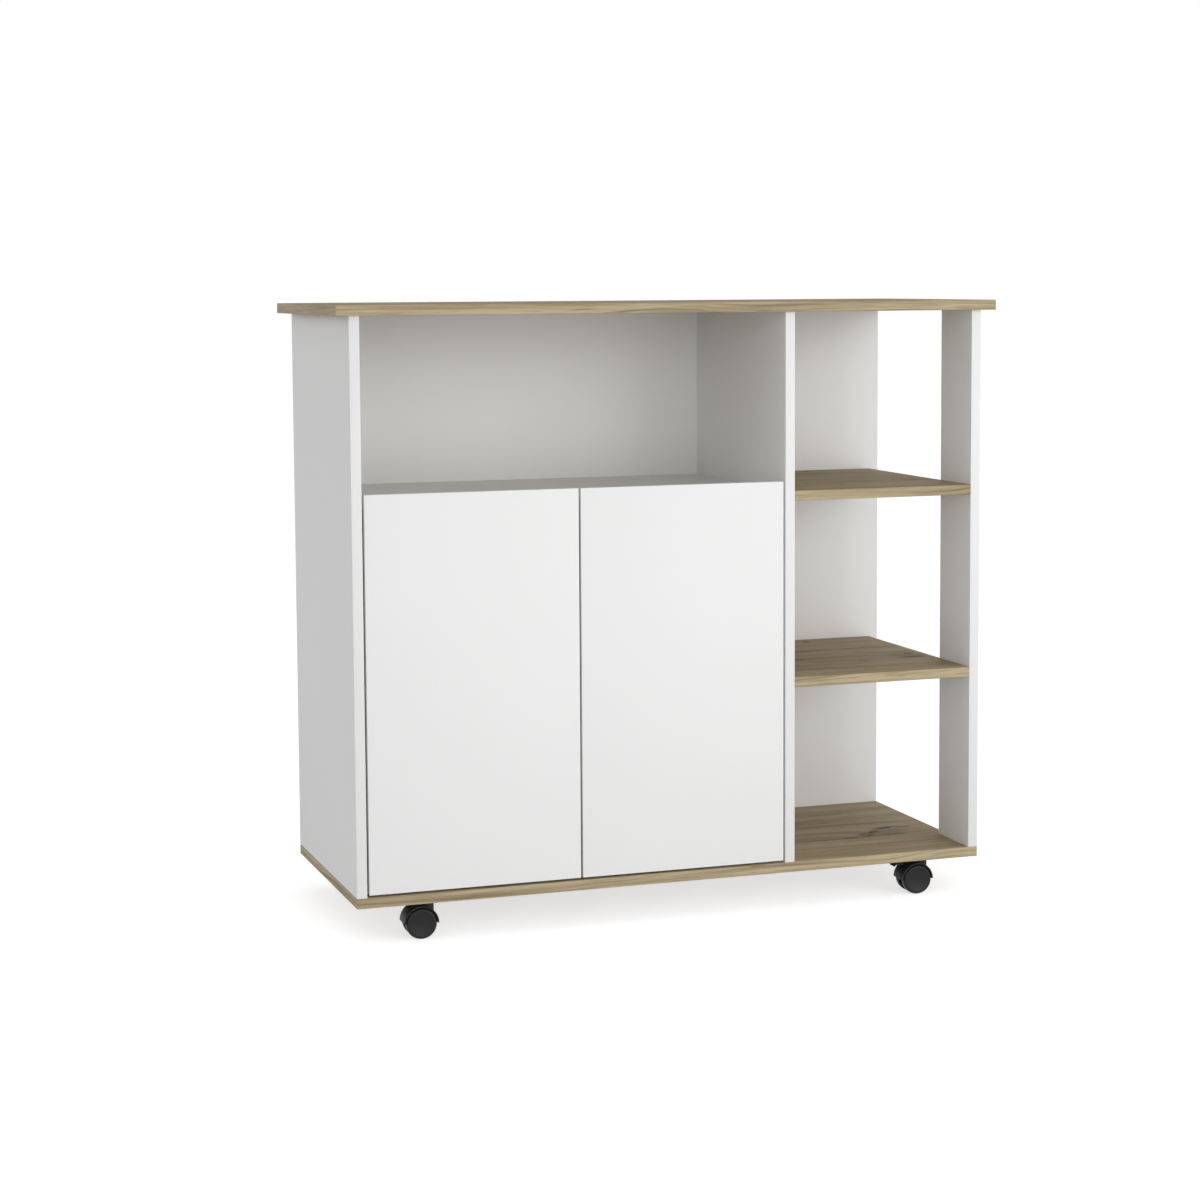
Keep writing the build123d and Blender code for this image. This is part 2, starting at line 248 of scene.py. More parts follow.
@dataclass(frozen=True)
class GrainMark:
    """A knot, pit or crack of the oak print, in millimetres on the board's face; its depth is from 0 to 1."""

    along: float
    across: float
    length: float
    width: float
    turn_deg: float = 0.0
    depth: float = 1.0


@dataclass(frozen=True)
class OakDecor(Finish):
    """Oak decor: a printed oak paper under matt melamine, its grain along the board.

    The eye gets long light and dark streaks of growth rings, fine dark pores that follow them, and a few knots
    and cracks that the rings bend round. The print lies under a matt film, so only the pores have any relief.
    """

    marks: tuple[GrainMark, ...] = ()
    seed: float = 0.0
    light: str = "B7A78A"
    middle: str = "A09174"
    dark: str = "847459"
    pore: str = "685842"
    knot: str = "4B4033"
    streak: str = "C9BFAE"
    roughness: float = 0.66
    roughness_play: Point = (-0.06, 0.08)
    relief: Point = (0.35, 0.05)
    specular: float = 0.12
    # How strongly the growth rings show against the bands, from 0 to 1
    figure: float = 0.5
    ring_mm: float = 9.0
    band_mm: float = 26.0
    streak_mm: float = 3.2
    # Oak pores are about 0.3 mm wide; they are drawn 0.9 mm wide, as coarse as they need to be to show.
    pore_mm: float = 0.9
    # How many times longer than wide the bands are; rings, streaks and pores are longer still
    stretch: float = 16.0
    # The rings arch to and fro about every 60 mm of width, by 46 mm from side to side
    sway_mm: float = 60.0
    sway_stretch: float = 9.0
    sway_reach_mm: float = 46.0
    # A knot's outline is broken up by patches of about 9 mm, moved by 9 mm from side to side
    ragged_mm: float = 1000 / 110
    ragged_reach_mm: float = 9.0
    # Where a knot fades out, and how far off the rings still bend round it, in halves of the knot
    knot_fade: Point = (0.45, 1.4)
    knot_bend: Point = (0.4, 3.6)

    def surface(self, tree: bpy.types.NodeTree) -> bpy.types.Node:
        """Build the oak decor's shader.

        Args:
            tree: The material's tree.

        Returns:
            The shader node.
        """
        place: bpy.types.NodeSocket = add_node(tree, "ShaderNodeUVMap", {"uv_map": GRAIN_MAP}).outputs["UV"]
        ragged = add_node(
            tree, "ShaderNodeTexNoise",
            sockets={"Vector": place, "Scale": 1 / (self.ragged_mm * MM), "Detail": 4.0},
        )
        ragged_place = self._nudged(tree, place, ragged, self.ragged_reach_mm)
        stain: bpy.types.NodeSocket | None = None
        for mark in self.marks:
            spot = add_node(
                tree, "ShaderNodeMapping", {"vector_type": "TEXTURE"},
                {
                    "Vector": ragged_place,
                    "Location": (mark.along * MM, mark.across * MM, 0),
                    "Rotation": (0, 0, math.radians(mark.turn_deg)),
                    "Scale": (mark.length / 2 * MM, mark.width / 2 * MM, 1),
                },
            )
            reach = add_node(tree, "ShaderNodeVectorMath", {"operation": "LENGTH"}, {0: spot.outputs["Vector"]})
            core, bow = (
                add_node(
                    tree, "ShaderNodeMapRange", {"interpolation_type": "SMOOTHSTEP"},
                    {"Value": reach.outputs["Value"], "From Min": near, "From Max": far, "To Min": most, "To Max": 0},
                ).outputs["Result"]
                for (near, far), most in ((self.knot_fade, mark.depth), (self.knot_bend, 0.8 * mark.depth))
            )
            place = self._moved(tree, place, (0, mark.width * MM, 0), bow)
            stain = core if stain is None else add_node(
                tree, "ShaderNodeMath", {"operation": "MAXIMUM"}, {0: stain, 1: core}
            ).outputs["Value"]

        # Broad bands of lighter and darker wood, then rings, streaks and pores, which a slow noise bends into arches
        bands = self._streaks(tree, place, self.band_mm, self.stretch, 3.0)
        sway = self._streaks(tree, place, self.sway_mm, self.sway_stretch, 2.0)
        swayed = self._nudged(tree, place, sway, self.sway_reach_mm)
        rings = self._streaks(tree, swayed, self.ring_mm, 2.6 * self.stretch, 2.0)
        streaks = self._streaks(tree, swayed, self.streak_mm, 2.2 * self.stretch, 4.0)
        pores = self._streaks(tree, swayed, self.pore_mm, 1.8 * self.stretch, 1.0)

        # Each layer's tint covers the wood where its noise rises from low to high, up to its most
        colour: tuple[float, float, float, float] | bpy.types.NodeSocket = linear(self.light)
        for layer, low, high, most, tint, blend in (
            (bands, 0.36, 0.66, 1.0, self.middle, "MIX"),
            (rings, 0.48, 0.74, self.figure, self.dark, "MIX"),
            (streaks, 0.45, 0.8, 0.4 + 0.6 * self.figure, self.streak, "MULTIPLY"),
            (pores, 0.6, 0.72, 0.55, self.pore, "MIX"),
        ):
            cover = add_node(
                tree, "ShaderNodeMapRange", {"interpolation_type": "SMOOTHSTEP"},
                {"Value": layer.outputs["Fac"], "From Min": low, "From Max": high, "To Max": most},
            ).outputs["Result"]
            colour = add_node(
                tree, "ShaderNodeMix", {"data_type": "RGBA", "blend_type": blend},
                {0: cover, 6: colour, 7: linear(tint)},
            ).outputs[2]
        pitted = cover
        if stain is not None:
            colour = add_node(
                tree, "ShaderNodeMix", {"data_type": "RGBA"}, {0: stain, 6: colour, 7: linear(self.knot)}
            ).outputs[2]
        others = {"IOR": 1.5, "Specular IOR Level": self.specular}
        return self.dressed(tree, colour, streaks.outputs["Fac"], pitted, others, sunk=True)

    def _streaks(
        self, tree: bpy.types.NodeTree, place: bpy.types.NodeSocket, width_mm: float, stretch: float, detail: float
    ) -> bpy.types.Node:
        """Draw noise pulled out along the grain.

        Args:
            tree: The material's tree.
            place: Where on the board, in metres.
            width_mm: The streaks' width across the grain.
            stretch: How many times longer than wide they are.
            detail: How many finer layers they hold.

        Returns:
            The noise node.
        """
        # Each board and each width of streak reads another part of the noise
        pulled = add_node(
            tree, "ShaderNodeMapping",
            sockets={
                "Vector": place,
                "Location": (self.seed, 3.7 * self.seed, width_mm),
                "Scale": (1 / (width_mm * stretch * MM), 1 / (width_mm * MM), 1),
            },
        )
        return add_node(
            tree, "ShaderNodeTexNoise",
            sockets={"Vector": pulled.outputs["Vector"], "Scale": 1.0, "Detail": detail, "Roughness": 0.55},
        )

    @staticmethod
    def _moved(
        tree: bpy.types.NodeTree,
        place: bpy.types.NodeSocket,
        step: Spot | bpy.types.NodeSocket,
        times: float | bpy.types.NodeSocket,
    ) -> bpy.types.NodeSocket:
        """Move a place by a step.

        Args:
            tree: The material's tree.
            place: Where on the board.
            step: The step, plain or from another node.
            times: How many times the step is taken, plain or from another node.

        Returns:
            The moved place.
        """
        scaled = add_node(tree, "ShaderNodeVectorMath", {"operation": "SCALE"}, {0: step, "Scale": times})
        return add_node(
            tree, "ShaderNodeVectorMath", {"operation": "ADD"}, {0: place, 1: scaled.outputs["Vector"]}
        ).outputs["Vector"]

    def _nudged(
        self, tree: bpy.types.NodeTree, place: bpy.types.NodeSocket, noise: bpy.types.Node, reach_mm: float
    ) -> bpy.types.NodeSocket:
        """Move a place by a noise, up to half the reach each way.

        Args:
            tree: The material's tree.
            place: Where on the board.
            noise: The noise node.
            reach_mm: The full width of the movement.

        Returns:
            The moved place.
        """
        centred = add_node(
            tree, "ShaderNodeVectorMath", {"operation": "SUBTRACT"}, {0: noise.outputs["Color"], 1: (0.5, 0.5, 0.5)}
        )
        return self._moved(tree, place, centred.outputs["Vector"], reach_mm * MM)


@dataclass(frozen=True)
class MouldedPlastic(Finish):
    """Moulded plastic, nylon or ABS: matt from a spark-eroded mould.

    The eye gets a soft, slightly broken highlight on a colour that drifts a little with the melt's flow.
    """

    colour: str = "26272A"
    roughness: float = 0.45
    specular: float = 0.4
    # Spark erosion leaves pits of about 0.1 mm; they are drawn at 0.5 mm, as coarse as they need to be to show.
    grit_mm: float = 0.5
    # The melt's flow leaves patches of about 17 mm that are a little lighter or darker, 60 to a metre.
    flow_mm: float = 1000 / 60

    def surface(self, tree: bpy.types.NodeTree) -> bpy.types.Node:
        """Build the plastic's shader.

        Args:
            tree: The material's tree.

        Returns:
            The shader node.
        """
        place = add_node(tree, "ShaderNodeTexCoord").outputs["Object"]
        grit = add_node(
            tree, "ShaderNodeTexNoise",
            sockets={"Vector": place, "Scale": 1 / (self.grit_mm * MM), "Detail": 1.0},
        )
        flow = add_node(
            tree, "ShaderNodeTexNoise",
            sockets={"Vector": place, "Scale": 1 / (self.flow_mm * MM), "Detail": 2.0},
        ).outputs["Fac"]
        drift = add_node(tree, "ShaderNodeMapRange", sockets={"Value": flow, "To Min": 0.9, "To Max": 1.1})
        tone = add_node(
            tree, "ShaderNodeHueSaturation",
            sockets={"Color": linear(self.colour), "Value": drift.outputs["Result"]},
        )
        others = {"IOR": 1.5, "Specular IOR Level": self.specular}
        return self.dressed(tree, tone.outputs["Color"], flow, grit.outputs["Fac"], others)


@dataclass(frozen=True)
class PlatedSteel(Finish):
    """Pressed steel with an electroplated coat, zinc or nickel.

    The eye gets a bright metal whose highlights are drawn out by the rolling lines of the sheet under the coat.
    """

    colour: str = "C8CACD"
    shade: str = "AEB2B8"
    roughness: float = 0.3
    roughness_play: Point = (-0.08, 0.1)
    relief: Point = (0.15, 0.01)
    # The sheet's rolling lines are about 0.05 mm apart; they are drawn 0.4 mm apart, as coarse as they need to be.
    line_mm: float = 0.4
    line_length_mm: float = 25.0
    # The coat's brightness changes in patches of about 6 mm, 180 to a metre.
    cloud_mm: float = 1000 / 180

    def surface(self, tree: bpy.types.NodeTree) -> bpy.types.Node:
        """Build the plated steel's shader.

        Args:
            tree: The material's tree.

        Returns:
            The shader node.
        """
        place = add_node(tree, "ShaderNodeTexCoord").outputs["Object"]
        across = 1 / (self.line_mm * MM)
        rolled = add_node(
            tree, "ShaderNodeMapping",
            sockets={"Vector": place, "Scale": (across, across, 1 / (self.line_length_mm * MM))},
        )
        lines = add_node(
            tree, "ShaderNodeTexNoise", sockets={"Vector": rolled.outputs["Vector"], "Scale": 1.0, "Detail": 2.0}
        ).outputs["Fac"]
        cloud = add_node(
            tree, "ShaderNodeTexNoise",
            sockets={"Vector": place, "Scale": 1 / (self.cloud_mm * MM), "Detail": 3.0},
        )
        tone = add_node(
            tree, "ShaderNodeMix", {"data_type": "RGBA"},
            {0: cloud.outputs["Fac"], 6: linear(self.colour), 7: linear(self.shade)},
        )
        return self.dressed(tree, tone.outputs[2], lines, lines, {"Metallic": 1.0})


OAK_BANDING = OakDecor(
    "oak_decor_abs_edge_banding", Slot.OAK_BOARD, seed=5.2, light="C4B595", middle="A9997B", dark="7E6D54",
    figure=0.75, ring_mm=5.0, band_mm=9.0, streak_mm=2.0, stretch=34.0, roughness=0.55,
)
WHITE_FACE = WhiteMelamine("white_melamine_face", Slot.WHITE_BOARD)
WHITE_BANDING = WhiteMelamine(
    "white_abs_edge_banding", Slot.WHITE_BOARD, colour="F0F0EF", shade="ECECEB", roughness=0.34, pebble_mm=0.9
)
ZINC = PlatedSteel("zinc_plated_pressed_steel", Slot.ZINC)
NICKEL = PlatedSteel("nickel_plated_pressed_steel", Slot.NICKEL, colour="CFCBC4", shade="B9B4AC", roughness=0.22)
CATCH_ABS = MouldedPlastic("white_moulded_abs", Slot.CATCH, colour="E4E4E0", roughness=0.4, grit_mm=0.4)
HOOD_NYLON = MouldedPlastic("black_moulded_nylon", Slot.CASTER, colour="151516", roughness=0.5, specular=0.28)
WHEEL_NYLON = MouldedPlastic("black_wheel_nylon", Slot.WHEEL, colour="161617", roughness=0.42, specular=0.26)


def recorded_body(node: str) -> str:
    """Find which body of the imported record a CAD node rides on."""
    bodies = frame["record"]["behaviour"]["bodies"]
    return next(body for body, members in bodies.items() if node in members)


def box_mm(node: str) -> tuple[Vector, Vector]:
    """Give a CAD node's lower and upper corner in millimetres."""
    low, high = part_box(node)
    return low / MM, high / MM


def carried_over(node: str, finish: Finish) -> None:
    """Dress a CAD node whose shape stays as it is.

    Args:
        node: The CAD node's name.
        finish: Its finish.
    """
    slots = frame["nodes"][node].data.materials
    slots.clear()
    slots.append(finish.material())


def verts_of(geom: Iterable[object]) -> list[bmesh.types.BMVert]:
    """Pick the vertices out of an operator's result."""
    return [item for item in geom if isinstance(item, bmesh.types.BMVert)]


class Build:
    """A piece in the making: a bmesh in millimetres, with the few shaping steps the cart's pieces share."""

    def __init__(self) -> None:
        """Start with an empty mesh."""
        self.bm = bmesh.new()

    @classmethod
    def of_node(cls, node: str) -> "Build":
        """Start from a merged copy of a CAD node, its flat faces made whole.

        Args:
            node: The CAD node's name.

        Returns:
            The new piece.
        """
        piece = cls()
        piece.bm.from_mesh(frame["nodes"][node].data)
        bmesh.ops.scale(piece.bm, vec=Vector((1, 1, 1)) / MM, verts=piece.bm.verts)
        bmesh.ops.remove_doubles(piece.bm, verts=piece.bm.verts, dist=0.002)
        bmesh.ops.dissolve_limit(
            piece.bm, angle_limit=math.radians(0.5), verts=piece.bm.verts, edges=piece.bm.edges,
            use_dissolve_boundaries=False,
        )
        return piece

    @classmethod
    def block(cls, low: Sequence[float], high: Sequence[float]) -> "Build":
        """Start from a block between two corners.

        Args:
            low: The lower corner.
            high: The upper corner.

        Returns:
            The new piece.
        """
        piece = cls()
        size = Vector(high) - Vector(low)
        middle = Matrix.Translation((Vector(high) + Vector(low)) / 2)
        bmesh.ops.create_cube(piece.bm, size=1, matrix=middle @ Matrix.Diagonal((*size, 1)))
        return piece

    @classmethod
    def turned(cls, profile: Sequence[Point], steps: int) -> "Build":
        """Start from a profile turned about Z.

        Args:
            profile: Radius and height of each point, in order; a closed shell ends on the axis or where it began.
            steps: How many faces go round.

        Returns:
            The new piece.
        """
        piece = cls()
        verts = [piece.bm.verts.new((radius, 0, height)) for radius, height in profile]
        edges = [piece.bm.edges.new(pair) for pair in zip(verts, verts[1:])]
        bmesh.ops.spin(
            piece.bm, geom=verts + edges, cent=(0, 0, 0), axis=(0, 0, 1), angle=math.tau, steps=steps,
            use_merge=True, use_duplicate=False,
        )
        bmesh.ops.remove_doubles(piece.bm, verts=piece.bm.verts, dist=0.0005)
        return piece.faced_outward()

    @classmethod
    def strip(cls, line: Sequence[Point], low: float, high: float, bend: float, bend_steps: int = 4) -> "Build":
        """Start from a bent strip of sheet: a line in the XY plane drawn out along Z, its corners rounded.

        Args:
            line: The strip's middle line.
            low: Where its width starts in Z.
            high: Where its width ends in Z.
            bend: How far from each corner the bend starts.
            bend_steps: How many faces a bend has.

        Returns:
            The new piece, still without thickness.
        """
        piece = cls()
        verts = [piece.bm.verts.new((x, y, low)) for x, y in line]
        edges = [piece.bm.edges.new(pair) for pair in zip(verts, verts[1:])]
        drawn = bmesh.ops.extrude_edge_only(piece.bm, edges=edges)["geom"]
        bmesh.ops.translate(piece.bm, vec=(0, 0, high - low), verts=verts_of(drawn))
        corners = [edge for edge in piece.bm.edges if len(edge.link_faces) == 2]
        if corners and bend > 0:
            piece.bevelled(corners, bend, bend_steps)
        return piece

    def thickened(self, thickness: float) -> "Build":
        """Give a sheet its thickness, all of it behind the sheet.

        Args:
            thickness: The sheet's thickness.

        Returns:
            The same piece.
        """
        bmesh.ops.recalc_face_normals(self.bm, faces=self.bm.faces)
        bmesh.ops.solidify(self.bm, geom=self.bm.faces[:], thickness=thickness)
        return self.faced_outward()

    def centred_sheet(self, thickness: float) -> "Build":
        """Give a sheet its thickness, so that the sheet itself becomes its middle.

        Args:
            thickness: The sheet's thickness.

        Returns:
            The same piece.
        """
        bmesh.ops.recalc_face_normals(self.bm, faces=self.bm.faces)
        outward = {vert: vert.normal * vert.calc_shell_factor() for vert in self.bm.verts}
        for vert, step in outward.items():
            vert.co += step * thickness / 2
        return self.thickened(thickness)

    def rim(self) -> list[bmesh.types.BMEdge]:
        """Find the edges that have a face on one side only."""
        return [edge for edge in self.bm.edges if len(edge.link_faces) == 1]

    def bevelled(self, edges: Iterable[bmesh.types.BMEdge], width: float, steps: int) -> "Build":
        """Round the edges that are given.

        Args:
            edges: The edges.
            width: How far from the edge the rounding starts.
            steps: How many faces go across it.

        Returns:
            The same piece.
        """
        bmesh.ops.bevel(
            self.bm, geom=list(edges), offset=width, segments=steps, profile=0.5, affect="EDGES", material=-1,
            clamp_overlap=True,
        )
        return self

    def rounded(self, width: float, steps: int = 3, sharper_than_deg: float = 35.0) -> "Build":
        """Round every edge that turns by more than an angle.

        Args:
            width: How far from the edge the rounding starts.
            steps: How many faces go across it.
            sharper_than_deg: Edges that turn by less stay as they are.

        Returns:
            The same piece.
        """
        sharp = [
            edge for edge in self.bm.edges
            if len(edge.link_faces) == 2 and math.degrees(edge.calc_face_angle(0)) > sharper_than_deg
        ]
        return self.bevelled(sharp, width, steps)

    def rounded_along(self, direction: Sequence[float], width: float, steps: int = 5) -> "Build":
        """Round the sharp edges that run in one direction.

        Args:
            direction: The direction, as a unit vector.
            width: How far from the edge the rounding starts.
            steps: How many faces go across it.

        Returns:
            The same piece.
        """
        heading = Vector(direction)
        found = [
            edge for edge in self.bm.edges
            if len(edge.link_faces) == 2 and edge.calc_face_angle(0) > math.radians(60)
            and abs((edge.verts[0].co - edge.verts[1].co).normalized().dot(heading)) > 0.99
        ]
        return self.bevelled(found, width, steps)

    def cut(self, point: Sequence[float], away: Sequence[float]) -> "Build":
        """Cut off what lies on the away side of a plane, and close the cut.

        Args:
            point: A point of the plane.
            away: Its normal, towards what goes.

        Returns:
            The same piece.
        """
        bmesh.ops.bisect_plane(
            self.bm, geom=self.bm.verts[:] + self.bm.edges[:] + self.bm.faces[:], dist=0.0005,
            plane_co=point, plane_no=away, clear_outer=True,
        )
        bmesh.ops.contextual_create(self.bm, geom=self.rim())
        return self

    def placed(self, matrix: Matrix) -> "Build":
        """Move the piece, and turn it right side out where the move mirrors it.

        Args:
            matrix: The move, in millimetres.

        Returns:
            The same piece.
        """
        bmesh.ops.transform(self.bm, matrix=matrix, verts=self.bm.verts)
        if matrix.determinant() < 0:
            bmesh.ops.reverse_faces(self.bm, faces=self.bm.faces)
        return self

    def faced_outward(self) -> "Build":
        """Turn every face outwards."""
        bmesh.ops.recalc_face_normals(self.bm, faces=self.bm.faces)
        return self

    def joined(self, others: Iterable["Build"]) -> "Build":
        """Take other pieces' meshes in, each still its own closed shell.

        Args:
            others: The pieces that join this one and end with it.

        Returns:
            The same piece.
        """
        for other in others:
            carrier = bpy.data.meshes.new("carrier")
            other.bm.to_mesh(carrier)
            other.bm.free()
            self.bm.from_mesh(carrier)
            bpy.data.meshes.remove(carrier)
        return self

    def with_grain(self) -> "Build":
        """Lay the grain map over the board: the grain runs along its faces and its edge bands.

        Returns:
            The same piece.
        """
        layer = self.bm.loops.layers.uv.new(GRAIN_MAP)
        for face in self.bm.faces:
            steep = max(range(3), key=lambda axis: abs(face.normal[axis]))
            along, across = ((1, 2), (0, 2), (0, 1))[steep]
            shift = EDGE_GRAIN_SHIFT if steep == 1 else 0
            for loop in face.loops:
                spot = loop.vert.co
                loop[layer].uv = (spot[along] * MM, (spot[across] + shift) * MM)
        return self

    def finished(
        self, name: str, body: str, finishes: Sequence[Finish], replaces: Sequence[str] = (), smooth_deg: float = 32.0
    ) -> bpy.types.Object:
        """Turn the piece into an object that rides on its body.

        Args:
            name: The piece's name.
            body: The CAD body it rides on.
            finishes: Its finishes, in the order of its faces' numbers.
            replaces: The CAD nodes it stands for.
            smooth_deg: Edges that turn by more than this stay crisp.

        Returns:
            The finished object.
        """
        bmesh.ops.scale(self.bm, vec=Vector((1, 1, 1)) * MM, verts=self.bm.verts)
        for face in self.bm.faces:
            face.smooth = True
        mesh = bpy.data.meshes.new(name)
        self.bm.to_mesh(mesh)
        self.bm.free()
        mesh.set_sharp_from_angle(angle=math.radians(smooth_deg))
        for finish in finishes:
            mesh.materials.append(finish.material())
        piece = bpy.data.objects.new(name, mesh)
        bpy.context.scene.collection.objects.link(piece)
        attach(piece, body)
        if replaces:
            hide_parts(*replaces)
        log.info("%s rides on %s, %d faces", name, body, len(mesh.polygons))
        return piece


class Head(Enum):
    """The fastener heads that show on the cart."""

    PAN = "pan"
    COUNTERSUNK = "countersunk"
    CONFIRMAT = "confirmat"
    CAM = "cam"


@dataclass(frozen=True)
class CrossHead:
    """A round head with a cross recess, in millimetres."""

    radius: float
    # How far the edge stands out of the surface, and how much more the middle does
    proud: float
    crown: float
    recess: float


@dataclass
class Fasteners:
    """Small fasteners, each made at the origin with its axis along Z and its head up."""

    pan: CrossHead = CrossHead(3.2, 0.675, 0.825, 0.9)
    flat: CrossHead = CrossHead(2.8, 0.04, 0.0, 0.9)
    cam: CrossHead = CrossHead(7.4, 0.3, 0.0, 1.4)
    # The cross's half width and half length, as shares of the head's radius, and how much narrower its floor is
    cross: Point = (0.22, 0.72)
    cross_taper: float = 0.7
    head_cells: int = 7
    seat: float = 1.2
    confirmat_radius: float = 4.9
    confirmat_proud: float = 0.35
    socket_radius: float = 2.2
    socket_depth: float = 2.6
    # Screws stop at any angle when they are driven home: the first one's angle, and how much further each next one goes
    stop_deg: Point = (17.0, 41.0)

    def crossed(self, head: CrossHead) -> Build:
        """Make a head with a cross recess.

        Args:
            head: Its sizes.

        Returns:
            The head.
        """
        piece = Build()
        bmesh.ops.create_grid(piece.bm, x_segments=self.head_cells, y_segments=self.head_cells, size=1)
        # The square grid is drawn round and crowned
        for vert in piece.bm.verts:
            x, y = vert.co.x, vert.co.y
            vert.co.x = x * math.sqrt(1 - y * y / 2) * head.radius
            vert.co.y = y * math.sqrt(1 - x * x / 2) * head.radius
            vert.co.z = head.proud + head.crown * (1 - (vert.co.x ** 2 + vert.co.y ** 2) / head.radius ** 2)
        piece.bm.normal_update()
        near, far = (share * head.radius for share in self.cross)
        middles = {face: face.calc_center_median() for face in piece.bm.faces}
        cross = [
            face for face, middle in middles.items()
            if (abs(middle.x) < near and abs(middle.y) < far) or (abs(middle.y) < near and abs(middle.x) < far)
        ]
        sunk = bmesh.ops.extrude_face_region(piece.bm, geom=cross)["geom"]
        bmesh.ops.delete(piece.bm, geom=cross, context="FACES_ONLY")
        bmesh.ops.translate(piece.bm, vec=(0, 0, -head.recess), verts=verts_of(sunk))
        bmesh.ops.scale(piece.bm, vec=(self.cross_taper, self.cross_taper, 1), verts=verts_of(sunk))
        side = bmesh.ops.extrude_edge_only(piece.bm, edges=piece.rim())["geom"]
        for vert in verts_of(side):
            vert.co.z = -self.seat
        bmesh.ops.contextual_create(piece.bm, geom=piece.rim())
        return piece.faced_outward()

    def socketed(self) -> Build:
        """Make a confirmat screw's head, nearly flush, with its hexagon socket.

        Returns:
            The head.
        """
        radius, proud, bore = self.confirmat_radius, self.confirmat_proud, self.socket_radius
        foot, floor = -self.seat - self.socket_depth, proud - self.socket_depth
        piece = Build.turned(
            [(0, foot), (radius - 1, foot), (radius, -self.seat), (radius, proud - 0.2), (radius - 0.25, proud),
             (bore + 0.3, proud), (bore, proud - 0.3), (bore, floor), (0, floor - 0.6)],
            24,
        )
        # The round socket's wall is drawn in to a hexagon
        sixth = math.radians(60)
        for vert in piece.bm.verts:
            if 0.1 < vert.co.xy.length < bore + 0.1 and vert.co.z > floor - 0.1:
                turn = math.atan2(vert.co.y, vert.co.x) % sixth
                flat = math.cos(sixth / 2) / math.cos(turn - sixth / 2)
                vert.co.x *= flat
                vert.co.y *= flat
        return piece

    def made(self, head: Head) -> Build:
        """Make one head of a kind.

        Args:
            head: The kind.

        Returns:
            The head at the origin.
        """
        if head is Head.CONFIRMAT:
            return self.socketed()
        return self.crossed({Head.PAN: self.pan, Head.COUNTERSUNK: self.flat, Head.CAM: self.cam}[head])

    def row(
        self, name: str, body: str, head: Head, facing: Sequence[float], spots: Iterable[Spot], finish: Finish = ZINC
    ) -> bpy.types.Object:
        """Place one kind of head at several spots that face the same way.

        Args:
            name: The piece's name.
            body: The body it rides on.
            head: The kind of head.
            facing: The way the heads look.
            spots: Where their seats are, in millimetres.
            finish: Their finish.

        Returns:
            The finished piece.
        """
        turn = Vector(facing).to_track_quat("Z", "Y").to_matrix().to_4x4()
        first, further = self.stop_deg
        heads = []
        for number, spot in enumerate(spots):
            stopped = Matrix.Rotation(math.radians(first + further * number), 4, "Z")
            heads.append(self.made(head).placed(Matrix.Translation(spot) @ turn @ stopped))
        return Build().joined(heads).finished(name, body, (finish,))


FASTENERS = Fasteners()
RIGHT, BACK, DOWN = Vector((1, 0, 0)), Vector((0, 1, 0)), Vector((0, 0, -1))
# Turns what was drawn flat, in X and Y, so that it stands, in X and Z
STOOD = Matrix.Rotation(math.radians(90), 4, "X")


